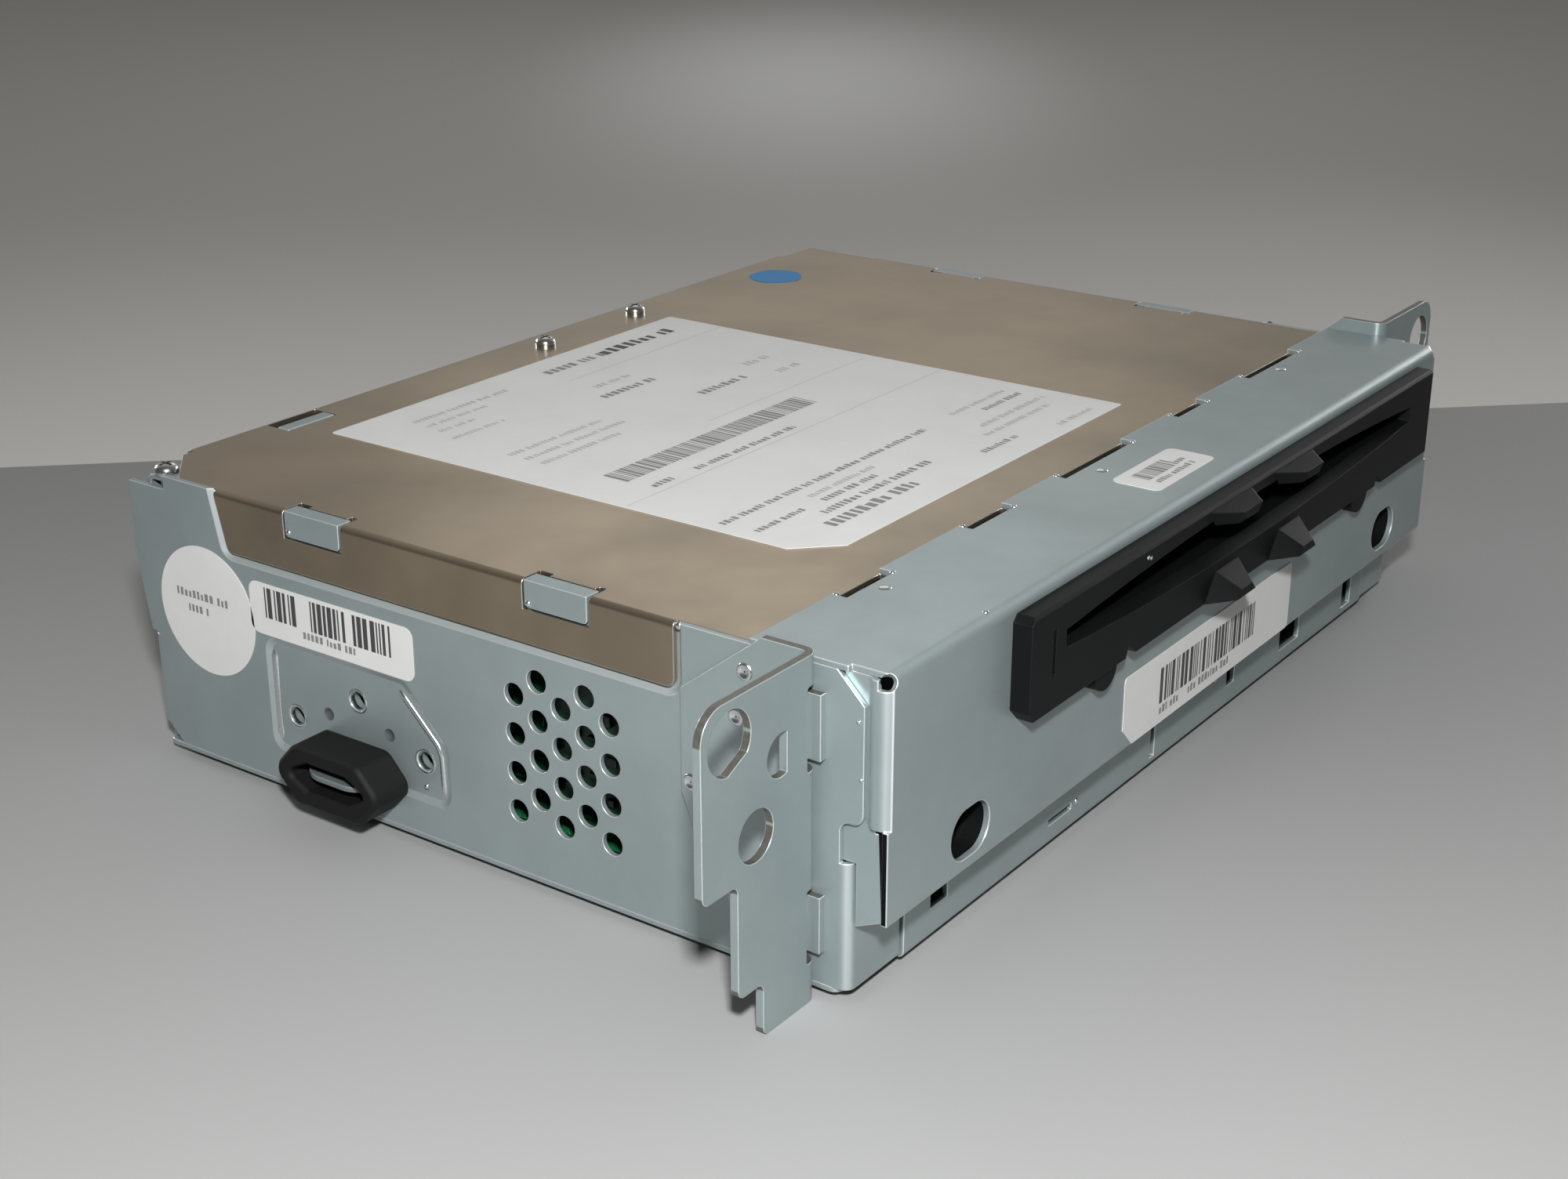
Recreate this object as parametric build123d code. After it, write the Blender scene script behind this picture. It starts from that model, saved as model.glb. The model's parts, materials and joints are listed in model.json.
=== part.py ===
from build123d import *
import math
import os

# A slot-loading disc drive module for a car dashboard, in millimetres.
# A folded steel case holds a circuit board and, on rubber dampers, the disc mechanism.
# Everything is drawn from a case datum and moved to the row frame at export.
# Datum: x = 0 mid-plane of the case, y = 0 front face, z = 0 lower edge of the side plates.

# Case
case_width = 180.0
case_depth = 138.3
case_height = 45.3
steel = 0.8
bend_radius = 1.6
bend_small = 0.9
sheet_gap = 0.1
foot_height = 1.3

# Side plates
corner_setback = 5.6
corner_return = 12.0
corner_rise = 18.5
rear_return = 8.0
rear_return_low = 3.0
rear_return_high = 18.0
nose_y = 3.7
nose_low = 24.6
nose_chamfer = 4.1
nose_round = 1.6
rear_notch = 4.5
rear_lug_reach = 1.9
rear_lug_high = case_height - 2.2
rear_lug_mid = 31.0
rear_lug_low = 24.0

# Recess of each side plate for the flange of the top cover
cover_steel = 0.7
recess_front = 33.0
recess_rear = case_depth - 16.5
recess_low = case_height - 9.8
recess_slant = 2.8
recess_corner = 1.8
recess_bevel = 0.9
recess_top = case_height + 2
flange_gap = 0.4
tab_width = 11.0
tab_drop = 4.0
tab_lap = 2.6
tab_relief = 1.3
tab_front_y = recess_front + 15.0
tab_rear_y = recess_rear - 27.3

# Vent field of the left side plate
vent_radius = 1.75
vent_first_y = 61.8
vent_pitch_y = 4.27
vent_pitch_z = 6.0
vent_low_z = 9.5
vent_columns = 5
vent_rows = 4

# Pressed panel and its holes on the left side plate
panel_mid_y = case_depth - 44.7
panel_half = 17.6
panel_low = 6.2
panel_high = 23.0
panel_depth = 0.5
panel_slope = 1.0
panel_chamfer = 8.0
panel_screw_radius = 1.55
panel_screw_pitch = 13.3
panel_screw_low = 11.75
panel_screw_high = 17.8
panel_pip_radius = 0.9
panel_pip_y = 6.3
panel_pip_z = 14.0

# Locating tongue and its rubber sleeve
tongue_width = 13.8
tongue_steel = 0.8
tongue_round = 4.5
tongue_foot_half = 12.0
tongue_foot_low = 0.6
tongue_foot_cut = 2.0
tongue_z = 6.6
tongue_reach = 6.2
sleeve_reach = 7.2
sleeve_half = 11.0
sleeve_shoulder = 6.6
sleeve_height = 9.6
sleeve_rubber = 2.5
sleeve_round = 2.2
sleeve_bore_round = 0.9
sleeve_gap = 0.3
sleeve_edge = 0.5

# Front hood
hood_low = 11.5
hood_strip_depth = 21.2
hood_side_depth = 11.8
hood_joggle_y = 2.6
hood_joggle_run = 0.9
hood_relief_y = 2.4
hood_relief_high = 0.9
hood_end_y = 6.2
hood_end_inset = 0.9
hood_flap_depth = corner_setback - 0.4
hood_flap_low = 9.6
hood_flap_top = corner_rise + 0.2
hood_slit = 1.5
hood_slit_low = 1.0
hood_slit_top = 24.8
hood_hole_radius = 1.1
notch_depth = 2.4
notch_pitch = 32.0
notch_first_x = -66.0
notch_widths = (11.4, 12.0, 22.0, 11.0, 21.0)
slit_depth = 2.3
oval_width = 9.8
oval_height = 7.4
oval_z = 16.7
oval_left_x = -69.8
oval_right_x = 71.4
collar = 1.2
oval_rim = 0.7
plate_end_gap = 0.05

# Disc slot and bezel
slot_x = 9.9
slot_z = case_height - 6.7
slot_width = 122.0
slot_height = 2.2
slot_crown = 1.75
slot_funnel = 0.25
slot_funnel_crown = 2.4
bezel_left = slot_width / 2 + 9.6
bezel_right = slot_width / 2 + 9.7
bezel_low = slot_z - 9.8
bezel_top = case_height - 0.9
bezel_proud = 3.0
bezel_chamfer = 2.0
bezel_edge = 0.5
duct_wall = 1.5
duct_depth = 5.0
window_gap = 0.6
peg_radius = 3.4
peg_drop = 0.2
peg_left = -37.3
peg_right = 53.3
peg_notch = 2.3
wedge_width = 15.0
wedge_height = 4.6
wedge_reach = 3.6
wedge_spread = 11.25
slit_x = 6.2
slit_half = 3.4
slit_width = 0.9
slit_drop = 1.0
slit_cut = 1.2
felt_depth = 1.6
felt_thick = 1.2

# Ear brackets
ear_steel = 1.2
ear_y = 10.4
ear_reach = 24.2
ear_top = case_height + 1.9
ear_top_right = ear_top + 1.2
ear_step_high = 22.0
ear_step_low = 5.8
ear_mid_reach = 17.2
ear_tip_reach = 12.0
ear_corner = 4.2
ear_fillet = 1.2
ear_bend = 2.0
ear_flange_end = 31.5
ear_flange_mid = 20.0
ear_window_width = 2.6
ear_window_high = (ear_top - 15.9, ear_top - 4.2)
ear_window_low = (3.7, 14.5)
ear_tab_front = 1.0
ear_tab_gap = 1.3
dee_x = 18.6
dee_z = ear_top - 5.5
dee_radius = 4.3
dee_flat = 3.7
slotted_x = 8.1
slotted_z = ear_top - 11.1
slotted_radius = 3.0
slotted_flat = 1.2
mount_x = 13.4
mount_z = 27.2
mount_radius = 3.6

# Bottom cover, feet and board
lip_y = 5.2
lip_height = 10.5
lip_notches = ((6.5, 10.9, 3.7), (70.9, 72.4, 0.6), (98.0, 101.0, 3.0), (119.0, 127.0, 2.0),
               (146.0, 150.0, 1.0))
lip_slot = -35.3
lip_slot_half = 3.4
lip_slot_z = 2.9
foot_radius = 4.0
foot_x = 82.0
foot_front_y = 28.0
foot_rear_y = case_depth - 20.3
stem_radius = 1.6
board_z = 5.0
board_thick = 1.6
board_half = 85.0
board_front = 14.0
board_rear = case_depth - 5.3
can_sizes = ((-76.0, 63.0, 4.0, 11.0), (-67.0, 56.0, 3.2, 9.0), (-77.0, 50.0, 4.0, 12.5),
             (-66.5, 46.0, 3.2, 9.0), (66.0, 64.0, 4.0, 11.0), (66.0, 78.0, 4.0, 11.0))
chip_sizes = ((-30.0, 40.0, 22.0, 22.0, 2.4), (10.0, 44.0, 16.0, 16.0, 2.2),
              (44.0, 42.0, 18.0, 10.0, 2.6), (-30.0, 84.0, 14.0, 20.0, 2.4),
              (20.0, 96.0, 20.0, 20.0, 2.4), (-74.0, 80.0, 9.0, 12.0, 4.0))
standoff_radius = 3.0
standoff_x = 76.0
standoff_front_y = 40.0
standoff_rear_y = case_depth - 30.3

# Rear panel and connectors
rear_flange = 12.0
rear_panel_gap = 0.5
rear_vent_rows = 2
rear_vent_columns = 9
rear_vent_pitch_x = 15.0
rear_vent_pitch_z = 5.5
rear_vent_drop = 8.0
rear_vent_length = 10.0
rear_vent_width = 2.4
screw_reach = 2.2
screw_stem = 1.0
screw_head = 1.9
screw_head_height = 1.6
screw_cross_half = 1.2
screw_cross_width = 0.5
screw_cross_floor = 0.8
cover_front = 7.6
cover_corner_x = 9.4
cover_corner_y = 9.8
rear_tab = (-63.0, -53.0)
rear_tab_front = 4.8
rear_tab_rear = 2.4
plug_width = 42.0
plug_height = 15.0
plug_depth = 14.0
plug_wall = 1.4
plug_floor = 3.0
plug_key_half = 4.0
plug_key_rise = 0.3
plug_x = -30.0
ribbon_x = 34.0
ribbon_width = 16.0
ribbon_thick = 0.3
ribbon_bend = 2.0
ribbon_fold = 14.0
plug_pins = 10
pin_size = 0.9
coax_size = 9.0
coax_bore = 3.2
coax_x = 34.0
coax_pitch = 16.0
coax_count = 2
coax_depth = 10.0
coax_floor = 2.5
coax_pin = 0.6
cutout_gap = 0.4
socket_reach = 2.0

# Disc mechanism
turntable_y = case_depth - 72.3
bay_top = case_height - 4.0
disc_seat_z = bay_top - 5.7
deck_half = slot_width / 2 + 5.5
deck_z = bay_top - 12.3
deck_steel = 1.0
deck_front = 8.0
deck_rear = case_depth - 5.3
tie_depth = 3.3
arm_well_rear = 36.0
guide_steel = 0.6
guide_slot_x = 44.0
guide_slot_length = 26.0
guide_slot_width = 9.0
guide_slot_reach = 24.0
rail_width = 4.2
rail_low = bay_top - 6.1
rail_front = 40.0
rail_rear = deck_rear - 5.0
rail_gap = 0.15
rail_lead = 2.4
post_radius = 2.0
post_inset = 9.0
post_front_y = 52.0
post_rear_y = deck_rear - 9.0
damper_radius = 5.0
damper_height = 7.0
motor_radius = 15.0
motor_height = 6.0
rotor_radius = 14.0
spindle_radius = 1.0
running_gap = 0.05
boss_radius = 7.4
boss_height = 1.2
boss_taper = 1.2
rotor_lift = 0.8
rotor_rim = 2.6
rotor_step = 1.5
rotor_pockets = 6
pocket_inner = 9.0
pocket_outer = 10.6
pocket_half = 1.2
pocket_depth = 0.6
bearing_radius = 4.0

# Pickup
sled_half = 20.0
sled_length = 15.0
sled_low = deck_z - 3.6
sled_high = deck_z + 2.6
sled_start = 23.5
sled_travel = 33.0
rod_radius = 1.5
rod_x = 16.5
rod_z = deck_z - 1.2
rod_front = turntable_y + 12.0
rod_rear = deck_rear
lug_depth = 2.5
lens_radius = 4.0
lens_rise = 2.2
module = 0.5
tooth_root = 0.31
tooth_tip = 0.15
pinion_teeth = 12
feed_teeth = 40
motor_teeth = 10
rack_height = 1.6
rack_bar = 3.2
rack_z = deck_z + 1.6
feed_y = turntable_y + 26.0
gear_face = 1.6
feed_motor_radius = 6.0
feed_motor_height = 10.0
mesh_gap = 0.08

# Clamp
clamp_pin_radius = 0.8
clamp_pin_y = turntable_y + 55.5
clamp_pin_z = bay_top + 1.7
clamp_arm_steel = 0.8
clamp_arm_half = 13.0
clamp_window = 22.0
clamp_shoulder = 12.0
clamp_neck_half = 9.0
clamp_neck_lead = 4.0
clamp_tip_half = 6.0
clamp_tip_lead = 9.0
clamp_slot_lead = 30.0
clamp_slot_length = 26.0
clamp_slot_width = 6.0
clamp_barrel_length = 6.0
clamp_barrel_notch = 1.4
puck_radius = 13.5
puck_neck = 4.0
puck_cap = 7.0
puck_thick = 1.0

# Loading roller and its gear train
roller_y = 16.0
roller_z = bay_top - 8.5
roller_radius = 4.0
roller_waist = 3.1
roller_half = slot_width / 2 - 3.0
shaft_radius = 1.25
arm_pivot_y = 32.0
arm_pivot_z = bay_top - 8.3
arm_pin_radius = 1.5
arm_steel = 1.0
arm_inset = 2.4
arm_bar_y = arm_pivot_y - 6.5
arm_bar_z = arm_pivot_z - 5.1
arm_bar_depth = 4.0
arm_swing = 11.5
arm_nose = 2.6
arm_heel = 3.0
arm_knee = 1.6
arm_stub = arm_inset + 0.9
roller_teeth = 14
transfer_teeth = 10
compound_teeth = 26
transfer_angle = 40.0
compound_angle = -45.0
engage_gap = 0.2
engage_lead = 3.2
slim_root = 0.22
slim_tip = 0.07
seat_gap = 0.02
loading_motor_angle = -70.0
loading_motor_radius = 8.0
loading_motor_gap = 3.2
lever_reach = 22.0
lever_lead = 3.2
lever_z = bay_top - 2.9
lever_x = 40.0
lever_y = deck_rear - 4.8
lever_thick = 1.2
lever_root = 3.2
lever_tip = 1.6
lever_peg = 1.4
lever_peg_drop = 2.0
lever_hub = 2.4
bracket_reach = 8.6
bracket_front = 14.0
bracket_step = arm_pivot_y + 11.5
bracket_rear = arm_pivot_y + 22.0
bracket_low = deck_z - 11.0
bracket_tall = 22.0
stud_radius = 1.0

half = case_width / 2
cover_low = case_height - cover_steel
tooth_pitch = math.pi * module
deck_top = deck_z + deck_steel
deck_left = slot_x - deck_half
deck_right = slot_x + deck_half
floor_z = -steel - foot_height


def slab_x(face, x, thick):
    """A face drawn in (y, z), laid at x and thickened towards +X."""
    return Pos(x, 0, 0) * extrude(Plane.YZ * face, thick)


def slab_y(face, y, thick):
    """A face drawn in (x, z), laid at y and thickened towards +Y."""
    return Pos(0, y + thick, 0) * extrude(Plane.XZ * face, thick)


def slab_z(face, z, thick):
    """A face drawn in (x, y), laid at z and thickened upwards."""
    return Pos(0, 0, z) * extrude(face, thick)


def block(x0, x1, y0, y1, z0, z1):
    """A box between two corners."""
    middle = Pos((x0 + x1) / 2, (y0 + y1) / 2, (z0 + z1) / 2)
    return middle * Box(abs(x1 - x0), abs(y1 - y0), abs(z1 - z0))


def area(x0, x1, y0, y1, radius=0.0):
    """A rectangle between two corners, its corners rounded if a radius is given."""
    face = Rectangle(abs(x1 - x0), abs(y1 - y0))
    if radius > 0:
        face = fillet(face.vertices(), radius)
    return Pos((x0 + x1) / 2, (y0 + y1) / 2) * face


def outline(*points):
    """A flat polygon through the points, whichever way round they run."""
    return make_face(Polyline(*points, close=True))


def rod(radius, start, length, axis):
    """A round bar from its start point along X, Y or Z."""
    turn = {"x": Rot(0, 90, 0), "y": Rot(-90, 0, 0), "z": Rot(0, 0, 0)}[axis]
    bar = Cylinder(radius, length, align=(Align.CENTER, Align.CENTER, Align.MIN))
    return Pos(*start) * turn * bar


def strip(points, thick, radius, inside):
    """The section of a folded sheet: its outer line rounded at the folds and thickened."""
    line = FilletPolyline(*points, radius=radius)
    return make_face(offset(line, amount=thick, side=inside))


def mirrored(part):
    """The part seen in the mid-plane of the case."""
    return mirror(part, about=Plane.YZ)


def gear_face_of(teeth, bore, phase=0.0, root_share=tooth_root, tip_share=tooth_tip):
    """A spur gear outline with straight flanks, phase degrees from its first tooth."""
    tip = module * (teeth / 2 + 0.9)
    root = module * (teeth / 2 - 1.15)
    pitch_angle = 2 * math.pi / teeth
    points = []
    for tooth in range(teeth):
        middle = math.radians(phase) + tooth * pitch_angle
        for radius, share in ((root, -root_share), (tip, -tip_share),
                              (tip, tip_share), (root, root_share)):
            angle = middle + share * pitch_angle
            points.append((radius * math.cos(angle), radius * math.sin(angle)))
    return outline(*points) - Circle(bore)


def mesh_phase(phase, teeth, direction, next_teeth):
    """Phase of the next gear, whose centre lies in that direction, so that the teeth interleave."""
    pitch = 360.0 / teeth
    lead = (phase - direction + pitch / 2) % pitch - pitch / 2
    return direction + 180.0 - lead * teeth / next_teeth + 180.0 / next_teeth


def recess_area(grow, top):
    """The recess for one cover flange, drawn in (y, z), grown on its closed sides."""
    face = outline((recess_front - grow, top),
                   (recess_front - grow, recess_low - grow),
                   (recess_rear - recess_slant + grow, recess_low - grow),
                   (recess_rear + grow, top))
    lower = face.vertices().sort_by(Axis.Y)[:2]
    return fillet(lower, recess_corner + grow)


def tab_area(grow):
    """The two tabs that keep the plate's outer level inside the recess, drawn in (y, z)."""
    face = Sketch()
    for start in (tab_front_y, tab_rear_y):
        low = case_height - tab_drop
        face += area(start - grow, start + tab_width + grow, low - grow, case_height + 2, 0.6)
    return face


def side_plate():
    """The left side plate without vents or pressings."""
    front = corner_setback + bend_radius
    rear = case_depth - bend_radius
    wall = outline((front, 0), (front, nose_low), (nose_y, nose_low),
                   (nose_y, case_height - nose_chamfer), (nose_y + nose_chamfer, case_height),
                   (rear - rear_notch, case_height), (rear - rear_notch, rear_lug_high),
                   (case_depth + rear_lug_reach, rear_lug_high),
                   (case_depth + rear_lug_reach, rear_lug_mid),
                   (case_depth + rear_lug_reach / 2, rear_lug_low),
                   (case_depth, rear_return_high + 0.6), (rear, rear_return_high + 0.6),
                   (rear, rear_return_low), (rear - rear_return_low, 0))
    nose = [corner for corner in wall.vertices() if abs(corner.Y - nose_low) < 0.01]
    wall = fillet(nose, nose_round)
    plate = slab_x(wall, -half, steel)
    plate -= loft([Plane.YZ.offset(-half - 0.01) * recess_area(recess_bevel, recess_top),
                   Plane.YZ.offset(-half + steel + 0.01) * recess_area(0, recess_top)])
    plate += slab_x(tab_area(0) & wall & recess_area(recess_bevel, recess_top), -half, steel)
    backing_top = cover_low - sheet_gap
    backing = recess_area(1.2, backing_top) & area(recess_front - 3, recess_rear + 3, 0, backing_top)
    plate += slab_x(backing, -half + steel, steel)
    for start in (tab_front_y, tab_rear_y):
        plate += block(-half, -half + tab_lap, start, start + tab_width, cover_low, case_height)
    lower_corner = strip([(-half, front + 4), (-half, corner_setback),
                          (-half + corner_return, corner_setback)], steel, bend_radius, Side.LEFT)
    plate += slab_z(lower_corner, 0, corner_rise)
    rear_corner = strip([(-half, rear - 4), (-half, case_depth),
                         (-half + rear_return, case_depth)], steel, bend_radius, Side.RIGHT)
    plate += slab_z(rear_corner, rear_return_low, rear_return_high - rear_return_low)
    return plate


def panel_area(grow):
    """The pressed panel round the locating tongue, drawn in (y, z)."""
    front = panel_mid_y - panel_half - grow
    rear = panel_mid_y + panel_half + grow
    face = outline((front, panel_low - grow), (front, panel_high - panel_chamfer),
                   (front + panel_chamfer, panel_high + grow), (rear, panel_high + grow),
                   (rear, panel_low - grow))
    return fillet(face.vertices(), 1.5 + grow)


def pressing(grow, x):
    """The pressed panel as a body with sloping sides that goes in from the level x."""
    return loft([Plane.YZ.offset(x) * panel_area(grow + panel_slope),
                 Plane.YZ.offset(x + panel_depth) * panel_area(grow)])


def vent_holes():
    """Round vents in columns that stand half a pitch apart."""
    holes = Sketch()
    for column in range(vent_columns):
        lift = vent_pitch_z / 2 if column % 2 else 0
        for row in range(vent_rows):
            place = Pos(vent_first_y - column * vent_pitch_y, vent_low_z + lift + row * vent_pitch_z)
            holes += place * Circle(vent_radius)
    return holes


def left_side_plate():
    plate = side_plate()
    plate -= slab_x(vent_holes(), -half - 1, steel + 2)
    plate += pressing(0.5, -half + steel)
    plate -= pressing(0, -half)
    screws = ((panel_mid_y - panel_screw_pitch, panel_screw_low), (panel_mid_y, panel_screw_high),
              (panel_mid_y + panel_screw_pitch, panel_screw_low))
    inner_face = -half + steel + panel_depth
    for y, z in screws:
        plate += rod(panel_screw_radius + 0.6, (inner_face, y, z), collar, "x")
        plate -= rod(panel_screw_radius, (-half - 1, y, z), 5, "x")
    for side in (-1, 1):
        place = (-half - 1, panel_mid_y + side * panel_pip_y, panel_pip_z)
        plate -= rod(panel_pip_radius, place, 4, "x")
    y0 = panel_mid_y - tongue_width / 2 - sheet_gap
    y1 = panel_mid_y + tongue_width / 2 + sheet_gap
    plate -= block(-half - 1, inner_face + 1, y0, y1, tongue_z - sheet_gap,
                   tongue_z + tongue_steel + sheet_gap)
    return plate


def locating_tongue():
    """An angle behind the wall whose tongue comes out through the slot."""
    inner_face = -half + steel + panel_depth
    tongue = block(-half - tongue_reach, inner_face + tongue_steel,
                   panel_mid_y - tongue_width / 2, panel_mid_y + tongue_width / 2,
                   tongue_z, tongue_z + tongue_steel)
    tip = tongue.edges().filter_by(Axis.Z).group_by(Axis.X)[0]
    tongue = fillet(tip, tongue_round)
    foot = block(inner_face, inner_face + tongue_steel,
                 panel_mid_y - tongue_foot_half, panel_mid_y + tongue_foot_half,
                 tongue_foot_low, tongue_z + tongue_steel)
    foot = chamfer(foot.edges().filter_by(Axis.X).group_by(Axis.Z)[0], tongue_foot_cut)
    return tongue + foot


def rubber_sleeve():
    """A flattened six-sided rubber loop pulled over the tongue."""
    middle_z = tongue_z + tongue_steel / 2

    def loop(inset, radius):
        tall = sleeve_height / 2 - inset
        wide = sleeve_half - inset
        shoulder = wide - (sleeve_half - sleeve_shoulder)
        face = outline((wide, 0), (shoulder, tall), (-shoulder, tall),
                       (-wide, 0), (-shoulder, -tall), (shoulder, -tall))
        return fillet(face.vertices(), radius)

    ring = loop(0, sleeve_round) - loop(sleeve_rubber, sleeve_bore_round)
    lips = slab_x(Pos(panel_mid_y, middle_z) * ring, -half - sleeve_reach,
                  sleeve_reach - sleeve_gap)
    outer = lips.edges().group_by(Axis.X)[0]
    return chamfer(outer, sleeve_edge)


def top_cover():
    """The lid: a wide middle with two folded flanges, narrower at the front and rear."""
    inner = half - steel - sheet_gap
    section = strip([(-half, recess_low + flange_gap), (-half, case_height),
                     (half, case_height), (half, recess_low + flange_gap)],
                    cover_steel, bend_small, Side.RIGHT)
    y0 = recess_front + flange_gap
    y1 = recess_rear - flange_gap
    lid = slab_y(section, y0, y1 - y0)
    trim = Sketch() + area(0, case_depth, 0, recess_top)
    trim -= recess_area(-flange_gap, recess_top)
    side_trim = extrude(Plane.YZ * trim, cover_steel + bend_small)
    lid -= Pos(-half - 0.01, 0, 0) * side_trim
    lid -= Pos(half + 0.01 - cover_steel - bend_small, 0, 0) * side_trim
    sheet = area(-inner, inner, cover_front, case_depth - bend_small, 0.5)
    lid += slab_z(sheet, cover_low, cover_steel)
    rear_half = inner - rear_return - 2
    rear = strip([(case_depth - 8, case_height), (case_depth + cover_steel + sheet_gap, case_height),
                  (case_depth + cover_steel + sheet_gap, case_height - 5.5)],
                 cover_steel, bend_small, Side.RIGHT)
    lid += Pos(-rear_half, 0, 0) * extrude(Plane.YZ * rear, 2 * rear_half)
    for side in (-1, 1):
        for start in (tab_front_y, tab_rear_y):
            x0 = side * (half + 1)
            x1 = side * (half - tab_lap - flange_gap)
            lid -= block(x0, x1, start - flange_gap, start + tab_width + flange_gap,
                         case_height - tab_drop - flange_gap, case_height + 1)
            inner_x = side * (half - tab_lap - flange_gap)
            relief = side * (half - tab_lap - tab_relief)
            front = start - flange_gap
            rear = start + tab_width + flange_gap
            for y0, y1 in ((front, front + tab_relief), (rear - 2 * tab_relief, rear)):
                lid -= block(inner_x, relief, y0, y1, cover_low - 1, case_height + 1)
    for index, width in enumerate(notch_widths):
        x = notch_first_x + index * notch_pitch
        y = hood_strip_depth - notch_depth
        lid -= block(x - width / 2, x + width / 2, y, y + slit_depth,
                     cover_low - 1, case_height + 1)
    lid -= block(rear_tab[0] - flange_gap, rear_tab[1] + flange_gap,
                 case_depth - rear_tab_front - flange_gap, case_depth,
                 cover_low - 1, case_height + 1)
    corner_x = -half + cover_corner_x
    corner_y = case_depth - cover_corner_y
    clipped = outline((-half - 1, corner_y), (-half, corner_y), (corner_x, case_depth),
                      (corner_x, case_depth + 3), (-half - 1, case_depth + 3))
    lid -= slab_z(clipped, case_height - 3, 5)
    for x, y, seat in cover_screw_places():
        lid -= rod(screw_stem + 0.1, (x, y, cover_low - 1), 3, "z")
    return lid


def cover_screw_places():
    """Screws at the rear: place and seat; the corner one sits on the rear panel's flange."""
    return ((-half + 2.9, case_depth - 3.7, cover_low - sheet_gap),
            (-1.0, case_depth - 5.4, case_height), (26.0, case_depth - 4.4, case_height))


def cover_screws():
    group = Part()
    for x, y, seat in cover_screw_places():
        head = rod(screw_head, (x, y, seat), screw_head_height, "z")
        head = fillet(head.edges().group_by(Axis.Z)[-1], screw_head_height * 0.7)
        low = cover_low - screw_reach
        stem = rod(screw_stem, (x, y, low), seat - low, "z")
        for turn in (0, 90):
            cross = Pos(x, y, seat + screw_cross_floor) * Rot(0, 0, turn) * Box(
                2 * screw_cross_half, screw_cross_width, screw_head_height,
                align=(Align.CENTER, Align.CENTER, Align.MIN))
            head -= cross
        group += head + stem
    return group


def hood_half():
    """Half width of the hood's flanges, which lie inside the side plates."""
    return half - steel - sheet_gap / 2


def front_hood():
    """The folded front: front plate, side flanges that step inwards, and a strip on the cover."""
    wide = hood_half()
    strip_top = case_height + steel
    turn_low = strip_top - bend_radius - 0.6
    left = [(-wide, hood_side_depth), (-wide, hood_joggle_y + hood_joggle_run),
            (-half, hood_joggle_y), (-half, 0)]
    right = [(-x, y) for x, y in reversed(left)]
    folds = [bend_small, bend_small, bend_radius]
    walls = strip(left + right, steel, folds + folds[::-1], Side.LEFT)
    flanges = walls - area(-half - 1, half + 1, -1, bend_radius + 0.2)
    hood = slab_z(walls, hood_slit_top, turn_low - hood_slit_top)
    hood += slab_z(flanges, turn_low - 0.1, case_height - sheet_gap - turn_low + 0.1)
    profile = strip([(hood_strip_depth, strip_top), (0, strip_top), (0, hood_low)],
                    steel, bend_radius, Side.LEFT)
    strip_half = half - hood_end_inset
    hood += Pos(-strip_half, 0, 0) * extrude(Plane.YZ * profile, 2 * strip_half)
    wider = half - plate_end_gap
    hood += block(-wider, wider, hood_end_y, hood_strip_depth, case_height, strip_top)
    plate = area(-wider, wider, 0, steel)
    hood += slab_z(plate, hood_low, hood_slit_top - hood_low)
    flap = outline((hood_relief_y, hood_slit_top), (hood_relief_y, hood_slit_top - hood_relief_high),
                   (hood_slit, hood_slit_top - hood_relief_high), (hood_slit_low, hood_low),
                   (hood_flap_depth, hood_flap_low), (hood_flap_depth, hood_flap_top),
                   (hood_side_depth, hood_flap_top), (hood_side_depth, hood_slit_top))
    for side in (-1, 1):
        hood += slab_x(flap, -wide if side < 0 else wide - steel, steel)
        corner = Pos(side * (half - 0.9), 0.9, strip_top - 1.2)
        hood -= corner * Sphere(hood_hole_radius)
    for index, width in enumerate(notch_widths):
        x = notch_first_x + index * notch_pitch
        y = hood_strip_depth - notch_depth
        hood -= block(x - width / 2, x + width / 2, y, hood_strip_depth + 1, cover_low, strip_top + 1)
    duct_half = slot_width / 2 + duct_wall + window_gap
    duct_tall = slot_height / 2 + slot_crown + duct_wall + window_gap
    hood -= block(slot_x - duct_half, slot_x + duct_half, -1, 2,
                  slot_z - duct_tall, slot_z + duct_tall)
    for x in (oval_left_x, oval_right_x):
        oval = Pos(x, oval_z) * SlotOverall(oval_width + 2 * oval_rim, oval_height + 2 * oval_rim)
        hood += slab_y(oval, steel, collar)
        hood -= slab_y(Pos(x, oval_z) * SlotOverall(oval_width, oval_height), -1, 5)
    return hood


def slot_area(grow, crown):
    """The disc slot, drawn in (x, z), with its long edges bowed outwards by the crown."""
    side = slot_width / 2 + grow
    tall = slot_height / 2 + grow
    ends = [(side, -tall), (side, tall), (-side, tall), (-side, -tall)]
    right = Line(ends[0], ends[1])
    upper = ThreePointArc(ends[1], (0, tall + crown), ends[2])
    left = Line(ends[2], ends[3])
    lower = ThreePointArc(ends[3], (0, -tall - crown), ends[0])
    return Pos(slot_x, slot_z) * make_face([right, upper, left, lower])


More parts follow.
